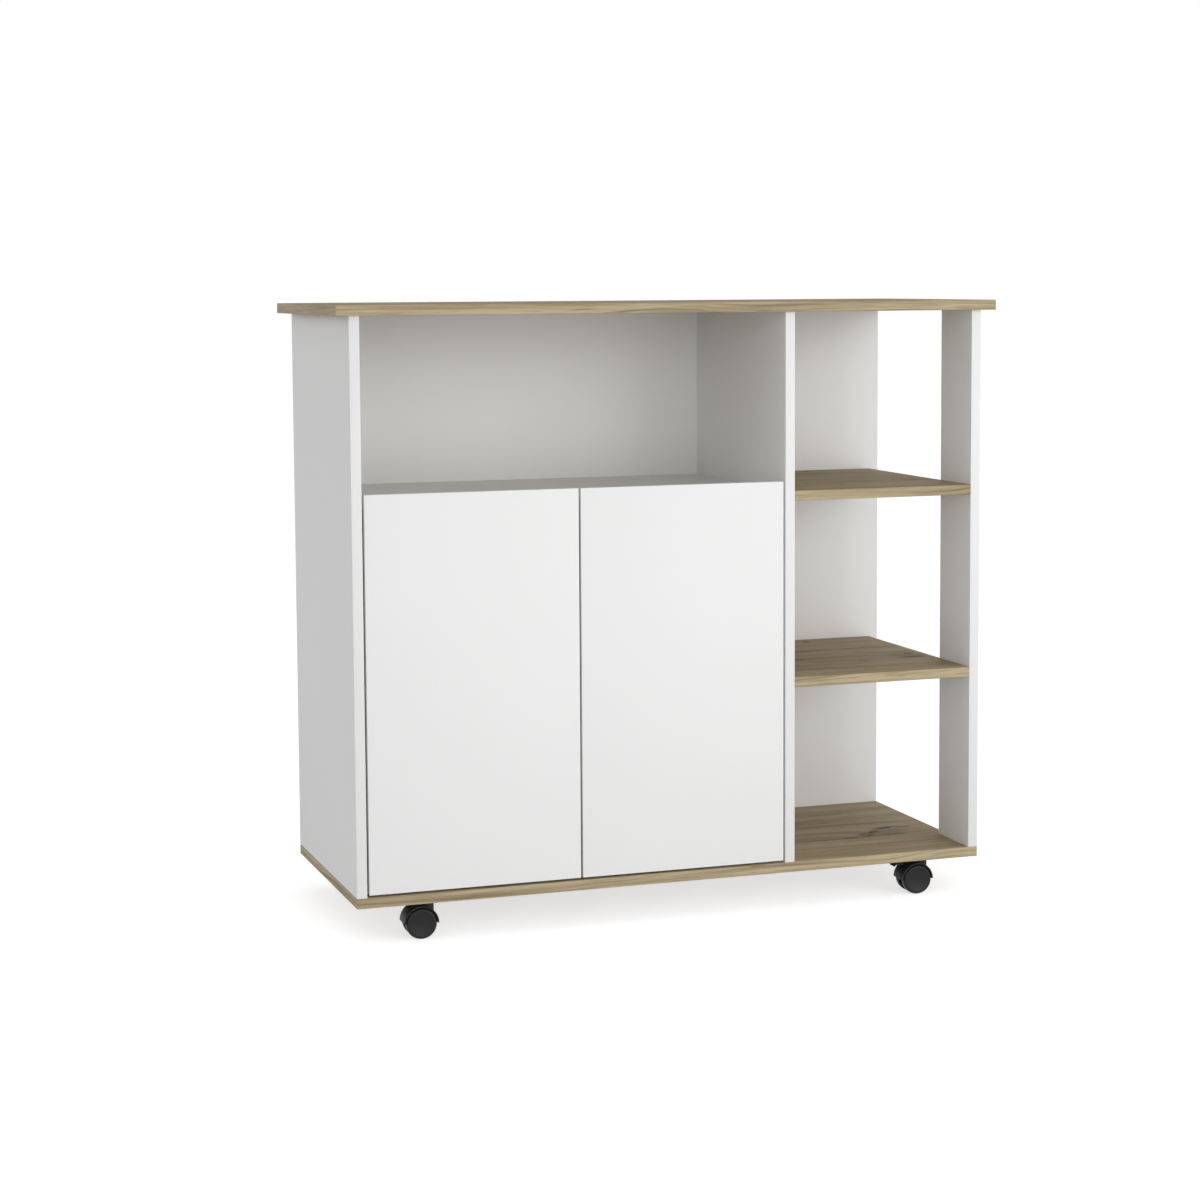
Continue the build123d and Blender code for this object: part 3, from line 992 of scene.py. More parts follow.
@dataclass
class Carcass:
    """The cart's boards, with the knock-down fasteners that show on them."""

    edge_rounding: float = 0.2
    white_boards: tuple[str, ...] = (
        "left_side_panel", "divider_panel", "tower_post", "back_panel", "niche_floor", "inner_shelf"
    )
    cam_height: float = 861.0
    panel_cam_depths: tuple[float, ...] = (-115.0, 115.0)
    divider_cam_depths: tuple[float, ...] = (-115.0, 100.0)
    back_cam_spots: tuple[float, ...] = (-319.0, 334.0)
    shelf_cam_insets: tuple[float, ...] = (-93.5, 100.0)
    shelf_cam_columns: tuple[float, ...] = (-445.0, 143.0)
    base_screws: tuple[Point, ...] = (
        (-476.5, -130), (-476.5, 130), (174.5, -130), (174.5, 115), (476.5, -164.5), (476.5, -113.5),
        (-424, 182.5), (-151, 182.5), (424, 182.5),
    )
    back_screws: tuple[Point, ...] = (
        (174.5, 128), (174.5, 461.5), (-349, 615.17), (47, 615.17), (242, 337.83), (409, 337.83),
        (242, 615.17), (409, 615.17),
    )

    # The upper shelf carries the lower one's marks, much fainter
    upper_shelf_fade: float = 0.45

    def oak_finishes(self) -> dict[str, OakDecor]:
        """List the oak boards with the marks that each one's print carries.

        Returns:
            The finish of each oak board.
        """
        shelf_marks = (
            GrainMark(445, -28, 22, 18, 50, 0.75), GrainMark(436, -62, 44, 15, 8, 0.9),
            GrainMark(458, -44, 26, 7, -30, 0.6), GrainMark(428, -40, 38, 52, 30, 0.34),
            GrainMark(344, 148, 12, 16, 0, 0.75), GrainMark(312, 52, 60, 6, 11, 0.75),
            GrainMark(325, -64, 150, 6, -5, 0.35), GrainMark(344, -76, 22, 8, 0, 0.5),
            GrainMark(261, -27, 16, 10, 0, 0.45), GrainMark(420, 72, 34, 9, 0, 0.3),
        )
        faint_marks = tuple(replace(mark, depth=mark.depth * self.upper_shelf_fade) for mark in shelf_marks)
        base_marks = (
            GrainMark(266, -71, 92, 5, -3, 0.85), GrainMark(328, -70, 30, 11, 0, 0.75),
            GrainMark(361, -64, 34, 11, 12, 0.85), GrainMark(404, -66, 44, 8, 0, 0.75),
            GrainMark(352, -55, 26, 9, 40, 0.6), GrainMark(378, -42, 34, 12, 38, 0.8),
            GrainMark(407, -20, 42, 13, 12, 0.9), GrainMark(436, -22, 34, 7, -8, 0.6),
            GrainMark(384, -50, 96, 44, 22, 0.3), GrainMark(316, 71, 60, 10, 0, 0.3),
            GrainMark(-190, 60, 70, 16, 5, 0.5),
        )
        top_marks = (
            GrainMark(-310, -40, 70, 16, 6, 0.7), GrainMark(-268, -64, 60, 5, 3, 0.5),
            GrainMark(120, 70, 120, 5, 5, 0.6), GrainMark(395, -90, 42, 13, 10, 0.65),
            GrainMark(40, -120, 10, 9, 0, 0.6),
        )
        return {
            "worktop": OakDecor("oak_decor_worktop", Slot.OAK_BOARD, marks=top_marks, seed=0.37),
            "base_board": OakDecor("oak_decor_base", Slot.OAK_BOARD, marks=base_marks, seed=1.91),
            "upper_open_shelf": OakDecor("oak_decor_upper_shelf", Slot.OAK_BOARD, marks=faint_marks, seed=2.63),
            "lower_open_shelf": OakDecor("oak_decor_lower_shelf", Slot.OAK_BOARD, marks=shelf_marks, seed=3.11),
        }

    def board(self, node: str, finishes: Sequence[Finish]) -> bpy.types.Object:
        """Make one board from its CAD node, its broken edges rounded.

        Args:
            node: The board's CAD node.
            finishes: Its face finish, and its edge banding's if it has one.

        Returns:
            The finished board.
        """
        low, high = box_mm(node)
        piece = Build.of_node(node).rounded(self.edge_rounding, 2, 20.0)
        thin = min(range(3), key=lambda axis: high[axis] - low[axis])
        if len(finishes) > 1:
            for face in piece.bm.faces:
                if abs(face.normal[thin]) < 0.5:
                    face.material_index = 1
        return piece.with_grain().finished(f"{node}_board", recorded_body(node), finishes, (node,), 50.0)

    def build(self) -> None:
        """Make every board of the carcass and the fasteners that show."""
        for node in self.white_boards:
            self.board(node, (WHITE_FACE, WHITE_BANDING))
        for node, finish in self.oak_finishes().items():
            self.board(node, (finish, OAK_BANDING))
        self.fasteners()

    def fasteners(self) -> None:
        """Place the cam discs and screw heads on the faces they are driven into."""
        panel, divider = box_mm("left_side_panel")[1].x, box_mm("divider_panel")[1].x
        back, base, niche = box_mm("back_panel")[1].y, box_mm("base_board")[0].z, box_mm("niche_floor")[0].z
        height = self.cam_height
        panel_spots = [(panel, y, height) for y in self.panel_cam_depths]
        divider_spots = [(divider, y, height) for y in self.divider_cam_depths]
        niche_spots = [(x, y, niche) for x in self.shelf_cam_columns for y in self.shelf_cam_insets]
        for name, head, facing, spots in (
            ("panel_cam_discs", Head.CAM, RIGHT, panel_spots + divider_spots),
            ("back_cam_discs", Head.CAM, BACK, [(x, back, height) for x in self.back_cam_spots]),
            ("niche_floor_cam_discs", Head.CAM, DOWN, niche_spots),
            ("base_confirmat_heads", Head.CONFIRMAT, DOWN, [(x, y, base) for x, y in self.base_screws]),
            ("back_confirmat_heads", Head.CONFIRMAT, BACK, [(x, back, z) for x, z in self.back_screws]),
        ):
            FASTENERS.row(name, "cart", head, facing, spots)


@dataclass
class Door:
    """A flush door with its pair of cup hinges and its strike plate."""

    side: str
    panel_x: float
    inward: float
    front_y: float = -190.0
    edge_rounding: float = 0.2
    # The melted edge bands stand a little back, which widens the dark line round each door
    edge_setback: float = 0.35
    edge_reach: float = 0.3
    hinge_heights: tuple[float, ...] = (156.0, 551.87)
    arm_line: tuple[Point, ...] = ((13.0, 6.9), (28.5, 11.64), (28.5, 21.73), (2.9, 21.73), (2.9, 75.0))
    arm_width: float = 10.0
    arm_thickness: float = 1.8
    arm_bend: float = 3.4
    eye_radius: float = 2.5
    eye_bore: float = 1.3
    eye_ease: float = 0.3
    # How far outside the eye's bore the neck starts, in the eye's wall
    neck_start: float = 0.4
    plate_setback: float = 52.0
    plate_wing: tuple[float, float] = (16.0, 44.0)
    plate_spine: tuple[float, float] = (38.0, 14.0)
    plate_thickness: float = 2.0
    cup_screw: tuple[float, float, float] = (32.8, 16.2, 22.5)
    clamp_screws: tuple[float, ...] = (40.0, 64.0)
    plate_screw_rise: float = 16.0

    def hinge_place(self, height: float) -> Matrix:
        """Give a hinge's place: X into the cabinet from the panel, Y back from the door's front, Z up."""
        return Matrix.Translation((self.panel_x, self.front_y, height)) @ Matrix.Diagonal((self.inward, 1, 1, 1))

    def hinge_spots(self, plan: Sequence[Spot]) -> list[Spot]:
        """Give the spots of a hinge's own plan at each of the door's hinges."""
        return [tuple(self.hinge_place(height) @ Vector(spot)) for height in self.hinge_heights for spot in plan]

    def leaf(self) -> None:
        """Make the door's board, with its bores for the hinge cups and rounded edges."""
        node = f"{self.side}_door"
        piece = Build.of_node(node)
        low, high = box_mm(node)
        # The outline's long edges turn by 45 degrees, since the CAD door's are already broken
        long = 0.9 * min(high.x - low.x, high.z - low.z)
        piece.bevelled(
            [
                edge for edge in piece.bm.edges
                if len(edge.link_faces) == 2 and 20 < math.degrees(edge.calc_face_angle(0)) < 60
                and edge.calc_length() > long
            ],
            self.edge_rounding, 2,
        )
        for vert in piece.bm.verts:
            for axis in (0, 2):
                if vert.co[axis] - low[axis] < self.edge_reach:
                    vert.co[axis] += self.edge_setback
                elif high[axis] - vert.co[axis] < self.edge_reach:
                    vert.co[axis] -= self.edge_setback
        for face in piece.bm.faces:
            if abs(face.normal.y) < 0.5:
                face.material_index = 1
        piece.finished(f"{node}_board", node, (WHITE_FACE, WHITE_BANDING), (node,), 50.0)

    def cups(self) -> None:
        """Make the pressed hinge cups, their edges eased, and the screws through their flanges."""
        node = f"{self.side}_hinge_cups"
        body = f"{self.side}_door"
        Build.of_node(node).rounded(0.3, 2, 50.0).finished(f"{node}_pressed", body, (NICKEL,), (node,))
        across, deep, rise = self.cup_screw
        spots = self.hinge_spots([(across, deep, -rise), (across, deep, rise)])
        FASTENERS.row(f"{self.side}_hinge_cup_screws", body, Head.PAN, BACK, spots)

    def arms(self) -> None:
        """Make the goose-neck arms: bent strips with an eye round the pin."""
        arms = []
        half, bore, radius, ease = self.arm_width / 2, self.eye_bore, self.eye_radius, self.eye_ease
        start, turn = Vector(self.arm_line[0]), Vector(self.arm_line[1])
        into_wall = (turn - start).normalized() * (bore + self.neck_start)
        for height in self.hinge_heights:
            neck = Build.strip(self.arm_line, -half, half, self.arm_bend, 6)
            for vert in neck.bm.verts:
                if (vert.co.xy - start).length < 0.01:
                    vert.co.xy += into_wall
            neck.centred_sheet(self.arm_thickness).rounded(0.35, 2, 60.0)
            eye = Build.turned(
                [(bore, -half), (radius - ease, -half), (radius, -half + ease), (radius, half - ease),
                 (radius - ease, half), (bore, half), (bore, -half)],
                32,
            ).placed(Matrix.Translation((*start, 0)))
            arms.append(neck.joined([eye]).placed(self.hinge_place(height)))
        node = f"{self.side}_hinge_arms"
        Build().joined(arms).finished(f"{node}_bent", "cart", (NICKEL,), (node,))
        top = self.arm_line[-1][0] + self.arm_thickness / 2
        spots = self.hinge_spots([(top, back, 0) for back in self.clamp_screws])
        FASTENERS.row(f"{self.side}_hinge_clamp_screws", "cart", Head.PAN, (self.inward, 0, 0), spots, NICKEL)

    def plates(self) -> list[Build]:
        """Make this door's two cross-shaped mounting plates, and place their screws.

        Returns:
            The two plates, to be joined with the other door's.
        """
        made = []
        thick, middle, rise = self.plate_thickness, self.plate_setback, self.plate_screw_rise
        for height in self.hinge_heights:
            for length, tall in (self.plate_wing, self.plate_spine):
                part = Build.block((0, middle - length / 2, -tall / 2), (thick, middle + length / 2, tall / 2))
                part.rounded_along((1, 0, 0), 3.0).rounded(0.3, 2, 60.0)
                made.append(part.placed(self.hinge_place(height)))
        spots = self.hinge_spots([(thick, middle, -rise), (thick, middle, rise)])
        FASTENERS.row(f"{self.side}_mounting_plate_screws", "cart", Head.PAN, (self.inward, 0, 0), spots)
        return made

    def strike(self) -> None:
        """Make the strike plate that the catch's magnet pulls, and its screw."""
        node = f"{self.side}_strike_plate"
        low, high = box_mm(node)
        plate = Build.block(low, high).rounded_along((0, 1, 0), 2.0).rounded(0.25, 2, 60.0)
        plate.finished(f"{node}_pressed", f"{self.side}_door", (NICKEL,), (node,))
        # Countersunk, so that the catch's poles meet the plate and not the screw
        centre = ((low.x + high.x) / 2, high.y, (low.z + high.z) / 2)
        FASTENERS.row(f"{self.side}_strike_plate_screw", f"{self.side}_door", Head.COUNTERSUNK, BACK, [centre])

    def build(self) -> None:
        """Make the door, its hinges and its strike plate; both doors' mounting plates are one piece, made apart."""
        self.leaf()
        self.cups()
        self.arms()
        carried_over(f"{self.side}_hinge_pins", NICKEL)
        self.strike()


@dataclass
class ShelfFittings:
    """The angle brackets of the loose shelf and the magnetic catch of the doors."""

    leg: float = 14.0
    width: float = 12.0
    thickness: float = 1.5
    top: float = 330.0
    rows: tuple[float, ...] = (-95.0, 135.0)
    bend: float = 1.6
    # Where a bracket's screw sits, as a share of its leg
    screw_share: float = 0.6
    # How far the catch's steel poles stand out of its housing
    pole_reach: float = 1.5
    catch_screw_insets: tuple[float, ...] = (8.0, 22.0)

    def brackets(self) -> None:
        """Make the bent angle brackets and the screws through their legs."""
        made = []
        middle = self.thickness / 2
        line = [(middle, -self.leg), (middle, -middle), (self.leg, -middle)]
        sides = (("left", PANEL_FACE, 1), ("right", DIVIDER_FACE, -1))
        for _, panel, inward in sides:
            for row in self.rows:
                bent = Build.strip(line, -self.width / 2, self.width / 2, self.bend)
                bent.centred_sheet(self.thickness).rounded(0.3, 2, 60.0)
                place = Matrix.Translation((panel, row, self.top)) @ Matrix.Diagonal((inward, 1, 1, 1)) @ STOOD
                made.append(bent.placed(place))
        Build().joined(made).finished("shelf_brackets_bent", "cart", (ZINC,), ("shelf_brackets",))
        screw_height = self.top - self.screw_share * self.leg
        for side, panel, inward in sides:
            spots = [(panel + inward * self.thickness, row, screw_height) for row in self.rows]
            FASTENERS.row(f"{side}_bracket_screws", "cart", Head.PAN, (inward, 0, 0), spots)

    def catch(self) -> None:
        """Make the catch's housing with its steel poles, and the screws that hold it."""
        low, high = box_mm("magnetic_catch")
        piece = Build.of_node("magnetic_catch").rounded(0.35, 3, 60.0)
        for face in piece.bm.faces:
            if face.calc_center_median().y < low.y + self.pole_reach:
                face.material_index = 1
        piece.finished("magnetic_catch_housing", "cart", (CATCH_ABS, ZINC), ("magnetic_catch",))
        spots = [((low.x + high.x) / 2, high.y - inset, low.z) for inset in self.catch_screw_insets]
        FASTENERS.row("catch_screws", "cart", Head.PAN, DOWN, spots)

    def build(self) -> None:
        """Make the brackets and the catch."""
        self.brackets()
        self.catch()


@dataclass(frozen=True)
class Wheel:
    """One moulded wheel of a twin pair, turned about its axle, its outer face up."""

    radius: float = 22.5
    inner: float = 6.0
    outer: float = 18.0
    bore: float = 2.55
    steps: int = 96

    def build(self) -> Build:
        """Turn the wheel: a flat outer face, a round shoulder, a tread, and a hollow with a hub inside.

        Returns:
            The wheel, its axle along Z.
        """
        top, bottom, radius = self.outer, self.inner, self.radius
        # In order: the face with its raised ring, the shoulder, the tread, the rim's foot, the hollow, the hub
        return Build.turned(
            [(0, top - 0.25), (17.2, top - 0.25), (17.7, top - 0.05), (18.1, top), (19.0, top), (20.0, top - 0.2),
             (20.9, top - 0.75), (21.6, top - 1.5), (22.05, top - 2.4), (22.3, top - 3.4), (radius - 0.05, top - 4.6),
             (radius, top - 6.0), (radius - 0.05, bottom + 1.6), (22.2, bottom + 0.6), (21.5, bottom), (19.4, bottom),
             (19.0, bottom + 0.4), (18.8, bottom + 5.0), (18.2, bottom + 5.6), (7.6, bottom + 5.6), (7.0, bottom + 5.0),
             (6.6, bottom + 0.3), (6.2, bottom), (self.bore + 0.3, bottom), (self.bore, bottom + 0.3),
             (self.bore, top - 2.5), (0, top - 2.5)],
            self.steps,
        )


@dataclass
class Caster:
    """A hooded twin-wheel swivel caster, modelled from its axle: X ahead to the stem, Y along the axle, Z up."""

    name: str
    stem: Point
    yaw_deg: float
    braked: bool = False
    trail: float = 10.0
    wheel: Wheel = Wheel()
    hood_outer: float = 25.3
    hood_inner: float = 23.1
    hood_half: float = 17.2
    web_half: float = 5.5
    web_ahead: float = 17.0
    web_behind: float = 15.5
    web_below: float = 6.0
    web_radius: float = 24.2
    # The core of a braked caster's web reaches this far into its cheeks, and is cut off along this line
    web_lap: float = 0.2
    core_line: tuple[Point, Point] = ((-15.5, 7.0), (-2.5, 24.0))
    boss_radius: float = 11.0
    boss_top: float = 28.7
    boss_ease: float = 0.5
    boss_bore: float = 4.1
    boss_bore_depth: float = 3.0
    # Where the boss starts inside the hood, as a share of the hood's inner radius
    boss_foot: float = 0.62
    slot_half: float = 2.8
    slot_from_deg: float = 120.0
    slot_to_deg: float = 138.0
    steps: int = 90
    lever_pivot: Point = (-11.0, 17.5)
    lever_line: tuple[Point, ...] = ((0.0, 0.0), (-9.0, 5.1), (-11.5, 5.33), (-20.0, 6.1), (-24.6, 3.3))
    lever_thickness: float = 2.2
    lever_neck: float = 5.0
    lever_tab: float = 16.0
    trunnion_radius: float = 1.6
    trunnion_half: float = 5.3
    trunnion_ease: float = 0.3

    def place(self) -> Matrix:
        """Give the matrix from the axle's frame to the shared frame, in millimetres."""
        turn = Matrix.Rotation(math.radians(self.yaw_deg), 4, "Z")
        return Matrix.Translation((*self.stem, self.wheel.radius)) @ turn @ Matrix.Translation((-self.trail, 0, 0))

    def hood(self) -> Build:
        """Make the hood: a band over the upper half of both wheels, slotted for the brake lever where it has one.

        Returns:
            The hood.
        """
        piece = Build()
        inner, outer, half, slot = self.hood_inner, self.hood_outer, self.hood_half, self.slot_half
        ring = [(outer, -half), (outer, -slot), (outer, slot), (outer, half),
                (inner, half), (inner, slot), (inner, -slot), (inner, -half)]
        verts = [piece.bm.verts.new((reach, side, 0)) for reach, side in ring]
        edges = [piece.bm.edges.new(pair) for pair in zip(verts, verts[1:] + verts[:1])]
        bmesh.ops.spin(
            piece.bm, geom=verts + edges, cent=(0, 0, 0), axis=(0, -1, 0), angle=math.pi, steps=self.steps,
            use_merge=False, use_duplicate=False,
        )
        ends = piece.rim()
        for sign in (-1, 1):
            side = [edge for edge in ends if all(vert.co.x * sign > 0 for vert in edge.verts)]
            bmesh.ops.contextual_create(piece.bm, geom=side)
        piece.faced_outward()
        if self.braked:
            opening = []
            for face in piece.bm.faces:
                middle = face.calc_center_median()
                turn = math.degrees(math.atan2(middle.z, middle.x))
                if abs(middle.y) < slot / 2 and self.slot_from_deg < turn < self.slot_to_deg:
                    opening.append(face)
            bmesh.ops.delete(piece.bm, geom=opening, context="FACES")
            bmesh.ops.bridge_loops(piece.bm, edges=piece.rim())
            piece.faced_outward()
        return piece.rounded(0.45, 3, 50.0)

    def plate(self, low: float, high: float) -> Build:
        """Make a plate of the web between two distances along the axle.

        Args:
            low: Where it starts.
            high: Where it ends.

        Returns:
            The plate, its outline square below and round under the hood.
        """
        piece = Build()
        across = Matrix.Translation((0, high, 0)) @ STOOD
        bmesh.ops.create_circle(piece.bm, cap_ends=True, radius=self.web_radius, segments=2 * self.steps, matrix=across)
        drawn = bmesh.ops.extrude_face_region(piece.bm, geom=piece.bm.faces[:])["geom"]
        bmesh.ops.translate(piece.bm, vec=(0, low - high, 0), verts=verts_of(drawn))
        piece.faced_outward()
        piece.cut((-self.web_behind, 0, 0), (-1, 0, 0)).cut((self.web_ahead, 0, 0), (1, 0, 0))
        return piece.cut((0, 0, -self.web_below), (0, 0, -1))

    def web(self) -> list[Build]:
        """Make the web between the wheels: one plate, or two cheeks and a core that clears the brake lever.

        Returns:
            The web's plates.
        """
        half, slot, lap = self.web_half, self.slot_half, self.web_lap
        if not self.braked:
            return [self.plate(-half, half).faced_outward().rounded(0.5, 2, 50.0)]
        (low_x, low_z), (high_x, high_z) = self.core_line
        core = self.plate(-slot - lap, slot + lap).cut((low_x, 0, low_z), (low_z - high_z, 0, high_x - low_x))
        return [part.faced_outward() for part in (self.plate(slot, half), self.plate(-half, -slot), core)]

    def boss(self) -> Build:
        """Make the boss that turns on the stem, its shoulder eased, with the stem's bore in its top.

        Returns:
            The boss.
        """
        foot, top, radius = self.hood_inner * self.boss_foot, self.boss_top, self.boss_radius
        bore, floor, ease = self.boss_bore, top - self.boss_bore_depth, self.boss_ease
        return Build.turned(
            [(0, foot), (radius, foot), (radius, top - ease), (radius - ease, top), (bore + ease, top),
             (bore, top - ease), (bore, floor), (0, floor)],
            64,
        ).placed(Matrix.Translation((self.trail, 0, 0)))

    def housing(self) -> None:
        """Join the hood, the web and the boss, and put the housing in its place."""
        node = f"{self.name}_caster_housing"
        piece = self.hood().joined([*self.web(), self.boss()]).placed(self.place())
        piece.finished(f"{node}_moulded", f"{self.name}_caster", (HOOD_NYLON,), (node,))

    def wheels(self) -> None:
        """Make the two wheels and turn their outer faces outwards."""
        for side, quarter in (("far", -90), ("near", 90)):
            node = f"{self.name}_caster_{side}_wheel"
            piece = self.wheel.build().placed(self.place() @ Matrix.Rotation(math.radians(quarter), 4, "X"))
            piece.finished(f"{node}_moulded", node, (WHEEL_NYLON,), (node,))

    def lever(self) -> None:
        """Make the brake lever: a narrow neck, a wide tab for the foot, and the cross pin it tips on."""
        node = f"{self.name}_brake_lever"
        neck = self.lever_neck / 2
        sheet = Build.strip(self.lever_line, -neck, neck, 0)
        wide_from = self.lever_line[2][0] + 0.01
        for sign in (-1, 1):
            side = [
                edge for edge in sheet.rim()
                if all(vert.co.z * sign > 0 and vert.co.x < wide_from for vert in edge.verts)
            ]
            drawn = bmesh.ops.extrude_edge_only(sheet.bm, edges=side)["geom"]
            bmesh.ops.translate(sheet.bm, vec=(0, 0, sign * (self.lever_tab / 2 - neck)), verts=verts_of(drawn))
        sheet.bm.normal_update()
        sheet.centred_sheet(self.lever_thickness)
        sheet.rounded_along((0, 0, 1), 0.9, 3).rounded(0.5, 3, 50.0)
        ease, reach, radius = self.trunnion_ease, self.trunnion_half, self.trunnion_radius
        pin = Build.turned(
            [(0, -reach), (radius - ease, -reach), (radius, -reach + ease), (radius, reach - ease),
             (radius - ease, reach), (0, reach)],
            32,
        )
        ahead, up = self.lever_pivot
        sheet.joined([pin]).placed(self.place() @ Matrix.Translation((ahead, 0, up)) @ STOOD)
        sheet.finished(f"{node}_moulded", node, (HOOD_NYLON,), (node,))

    def build(self) -> None:
        """Make the caster's housing, wheels and brake lever, and dress its axle."""
        self.housing()
        self.wheels()
        if self.braked:
            self.lever()
        carried_over(f"{self.name}_caster_axle", ZINC)


@dataclass
class CasterSeats:
    """The plates screwed under the base board and the stems riveted to them."""

    stems: tuple[Point, ...]
    size: float = 36.0
    low: float = 51.5
    high: float = 53.0
    corner: float = 4.0
    stem_radius: float = 4.0
    stem_foot: float = 30.0
    stem_ease: float = 0.8
    screw_inset: float = 12.5

    def build(self) -> None:
        """Make the plates, the stems and the screws that hold the plates."""
        half, radius, foot, ease = self.size / 2, self.stem_radius, self.stem_foot, self.stem_ease
        plates, stems = [], []
        for x, y in self.stems:
            plate = Build.block((x - half, y - half, self.low), (x + half, y + half, self.high))
            plates.append(plate.rounded_along((0, 0, 1), self.corner).rounded(0.25, 2, 60.0))
            stem = Build.turned(
                [(0, foot), (radius - ease, foot), (radius, foot + ease), (radius, self.low), (0, self.low)], 48
            )
            stems.append(stem.placed(Matrix.Translation((x, y, 0))))
        Build().joined(plates).finished("caster_plates_pressed", "cart", (ZINC,), ("caster_plates",))
        Build().joined(stems).finished("caster_stems_turned", "cart", (ZINC,), ("caster_stems",))
        inset = self.screw_inset
        spots = [
            (x + along * inset, y + across * inset, self.low)
            for x, y in self.stems for along in (-1, 1) for across in (-1, 1)
        ]
        FASTENERS.row("caster_plate_screws", "cart", Head.PAN, DOWN, spots)


@dataclass(frozen=True)
class SoftBox:
    """A square soft box that looks at the middle of the cart, in metres and watts."""

    name: str
    place: tuple[float, float, float]
    size: float
    watts: float
    aim: tuple[float, float, float] = (0.0, 0.0, 0.45)

    def hang(self) -> None:
        """Hang the soft box in the scene."""
        light = bpy.data.lights.new(self.name, "AREA")
        light.shape, light.size, light.energy = "SQUARE", self.size, self.watts
        holder = bpy.data.objects.new(self.name, light)
        holder.location = self.place
        holder.rotation_mode = "QUATERNION"
        holder.rotation_quaternion = (Vector(self.aim) - Vector(self.place)).to_track_quat("-Z", "Y")
        holder.visible_camera = False
        bpy.context.scene.collection.objects.link(holder)


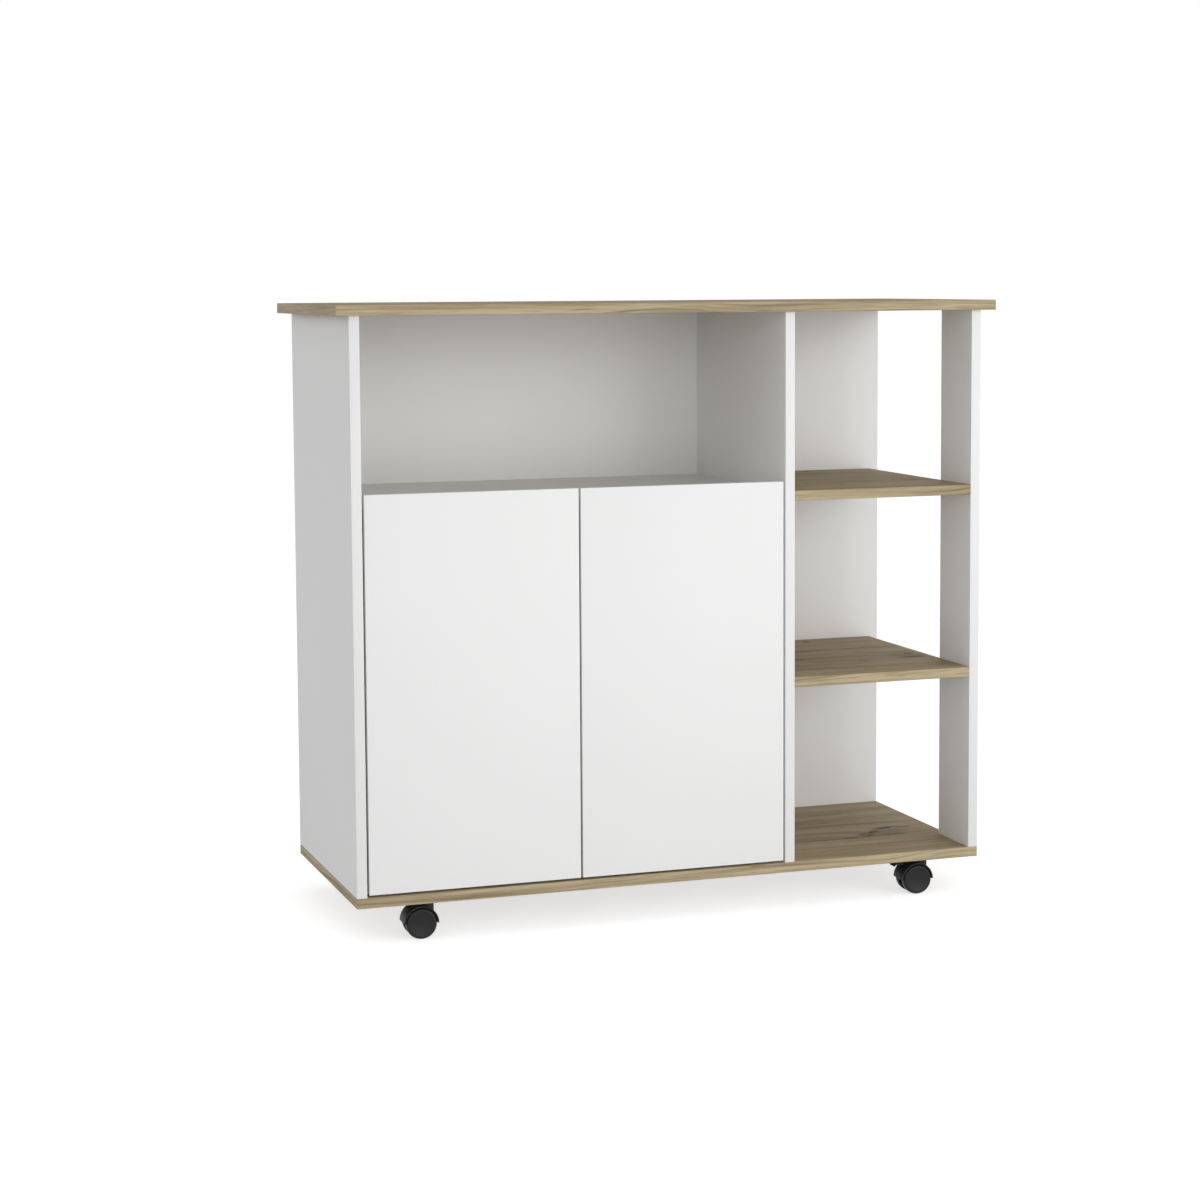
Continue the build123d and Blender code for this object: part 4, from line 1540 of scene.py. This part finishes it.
@dataclass
class Studio:
    """The floor, the soft light and the camera round the cart."""

    camera_place: tuple[float, float, float] = (-1.285292, -3.643133, 0.929179)
    yaw_deg: float = -19.159
    pitch_deg: float = -5.137
    roll_deg: float = -0.299
    lens_mm: float = 76.664
    sensor_mm: float = 36.0
    shift: tuple[float, float] = (-0.019277, -0.073523)
    floor_half: float = 14.0
    floor_colour: str = "E6E6E6"
    floor_glow: float = 0.66
    sky: float = 0.48
    soft_boxes: tuple[SoftBox, ...] = (
        SoftBox("right_soft_box", (2.2, -3.2, 0.8), 2.6, 49.0),
        SoftBox("front_soft_box", (0.2, -4.4, 0.6), 2.6, 37.0),
        SoftBox("left_soft_box", (-2.8, -3.2, 0.7), 2.6, 23.5),
    )

    def camera(self) -> None:
        """Set the camera where the photograph was taken from."""
        yaw, pitch, roll = (math.radians(turn) for turn in (self.yaw_deg, self.pitch_deg, self.roll_deg))
        ahead = Vector((-math.sin(yaw) * math.cos(pitch), math.cos(yaw) * math.cos(pitch), math.sin(pitch)))
        level = Vector((math.cos(yaw), math.sin(yaw), 0))
        rise = level.cross(ahead)
        right = level * math.cos(roll) + rise * math.sin(roll)
        above = rise * math.cos(roll) - level * math.sin(roll)
        lens = bpy.data.cameras.new("camera")
        lens.sensor_width, lens.lens = self.sensor_mm, self.lens_mm
        lens.shift_x, lens.shift_y = self.shift
        holder = bpy.data.objects.new("camera", lens)
        holder.matrix_world = Matrix((right, above, -ahead)).transposed().to_4x4()
        holder.location = self.camera_place
        bpy.context.scene.collection.objects.link(holder)
        bpy.context.scene.camera = holder

    def world(self) -> None:
        """Make the world: white where the camera, a mirror or glass sees it, and a plain soft sky for the rest."""
        world = bpy.data.worlds.new("studio")
        tree = bare_tree(world)
        level = add_node(
            tree, "ShaderNodeMapRange", sockets={"Value": self._seen(tree), "To Min": self.sky, "To Max": 1.0}
        )
        shade = add_node(
            tree, "ShaderNodeBackground", sockets={"Color": linear("FFFFFF"), "Strength": level.outputs["Result"]}
        )
        add_node(tree, "ShaderNodeOutputWorld", sockets={"Surface": shade.outputs["Background"]})
        bpy.context.scene.world = world

    @staticmethod
    def _seen(tree: bpy.types.NodeTree) -> bpy.types.NodeSocket:
        """Tell the rays from the camera, and those that a mirror or glass passes on, from all others.

        Args:
            tree: The floor's or the world's tree.

        Returns:
            1 for those rays, and 0 for the others.
        """
        path = add_node(tree, "ShaderNodeLightPath").outputs
        seen = path["Is Camera Ray"]
        for kind in ("Is Glossy Ray", "Is Transmission Ray"):
            seen = add_node(tree, "ShaderNodeMath", {"operation": "MAXIMUM"}, {0: seen, 1: path[kind]}).outputs["Value"]
        return seen

    def floor(self) -> None:
        """Lay the plain pale floor, which keeps the cart's shadow and meets the white background."""
        bm = bmesh.new()
        bmesh.ops.create_grid(bm, x_segments=1, y_segments=1, size=self.floor_half)
        mesh = bpy.data.meshes.new("floor")
        bm.to_mesh(mesh)
        bm.free()
        paint = bpy.data.materials.new("pale_studio_floor")
        tree = bare_tree(paint)
        matt = add_node(tree, "ShaderNodeBsdfDiffuse", sockets={"Color": linear(self.floor_colour)})
        share = add_node(tree, "ShaderNodeMath", {"operation": "MULTIPLY"}, {0: self._seen(tree), 1: self.floor_glow})
        glow = add_node(
            tree, "ShaderNodeEmission", sockets={"Color": linear("FFFFFF"), "Strength": share.outputs["Value"]}
        )
        both = add_node(tree, "ShaderNodeAddShader", sockets={0: matt.outputs["BSDF"], 1: glow.outputs["Emission"]})
        add_node(tree, "ShaderNodeOutputMaterial", sockets={"Surface": both.outputs["Shader"]})
        mesh.materials.append(paint)
        floor = bpy.data.objects.new("floor", mesh)
        bpy.context.scene.collection.objects.link(floor)

    def build(self) -> None:
        """Set up the whole studio."""
        self.camera()
        self.world()
        self.floor()
        for soft_box in self.soft_boxes:
            soft_box.hang()
        bpy.context.scene.view_settings.view_transform = "Standard"


def main() -> None:
    """Build the cart piece by piece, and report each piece."""
    logging.basicConfig(level=logging.INFO, format="%(name)s: %(message)s")
    Studio().build()
    Carcass().build()
    plates: list[Build] = []
    for door in (Door("left", PANEL_FACE, 1.0), Door("right", DIVIDER_FACE, -1.0)):
        door.build()
        plates += door.plates()
    Build().joined(plates).finished("hinge_mounting_plates_pressed", "cart", (NICKEL,), ("hinge_mounting_plates",))
    ShelfFittings().build()
    casters = (
        Caster("front_left", (-378.0, -165.8), -2.0),
        Caster("front_right", (398.5, -165.8), -2.0, braked=True),
        Caster("back_left", (-378.0, 165.8), 5.0, braked=True),
        Caster("back_right", (398.5, 165.8), -7.0),
    )
    CasterSeats(tuple(caster.stem for caster in casters)).build()
    for caster in casters:
        caster.build()


if __name__ == "__main__":
    main()
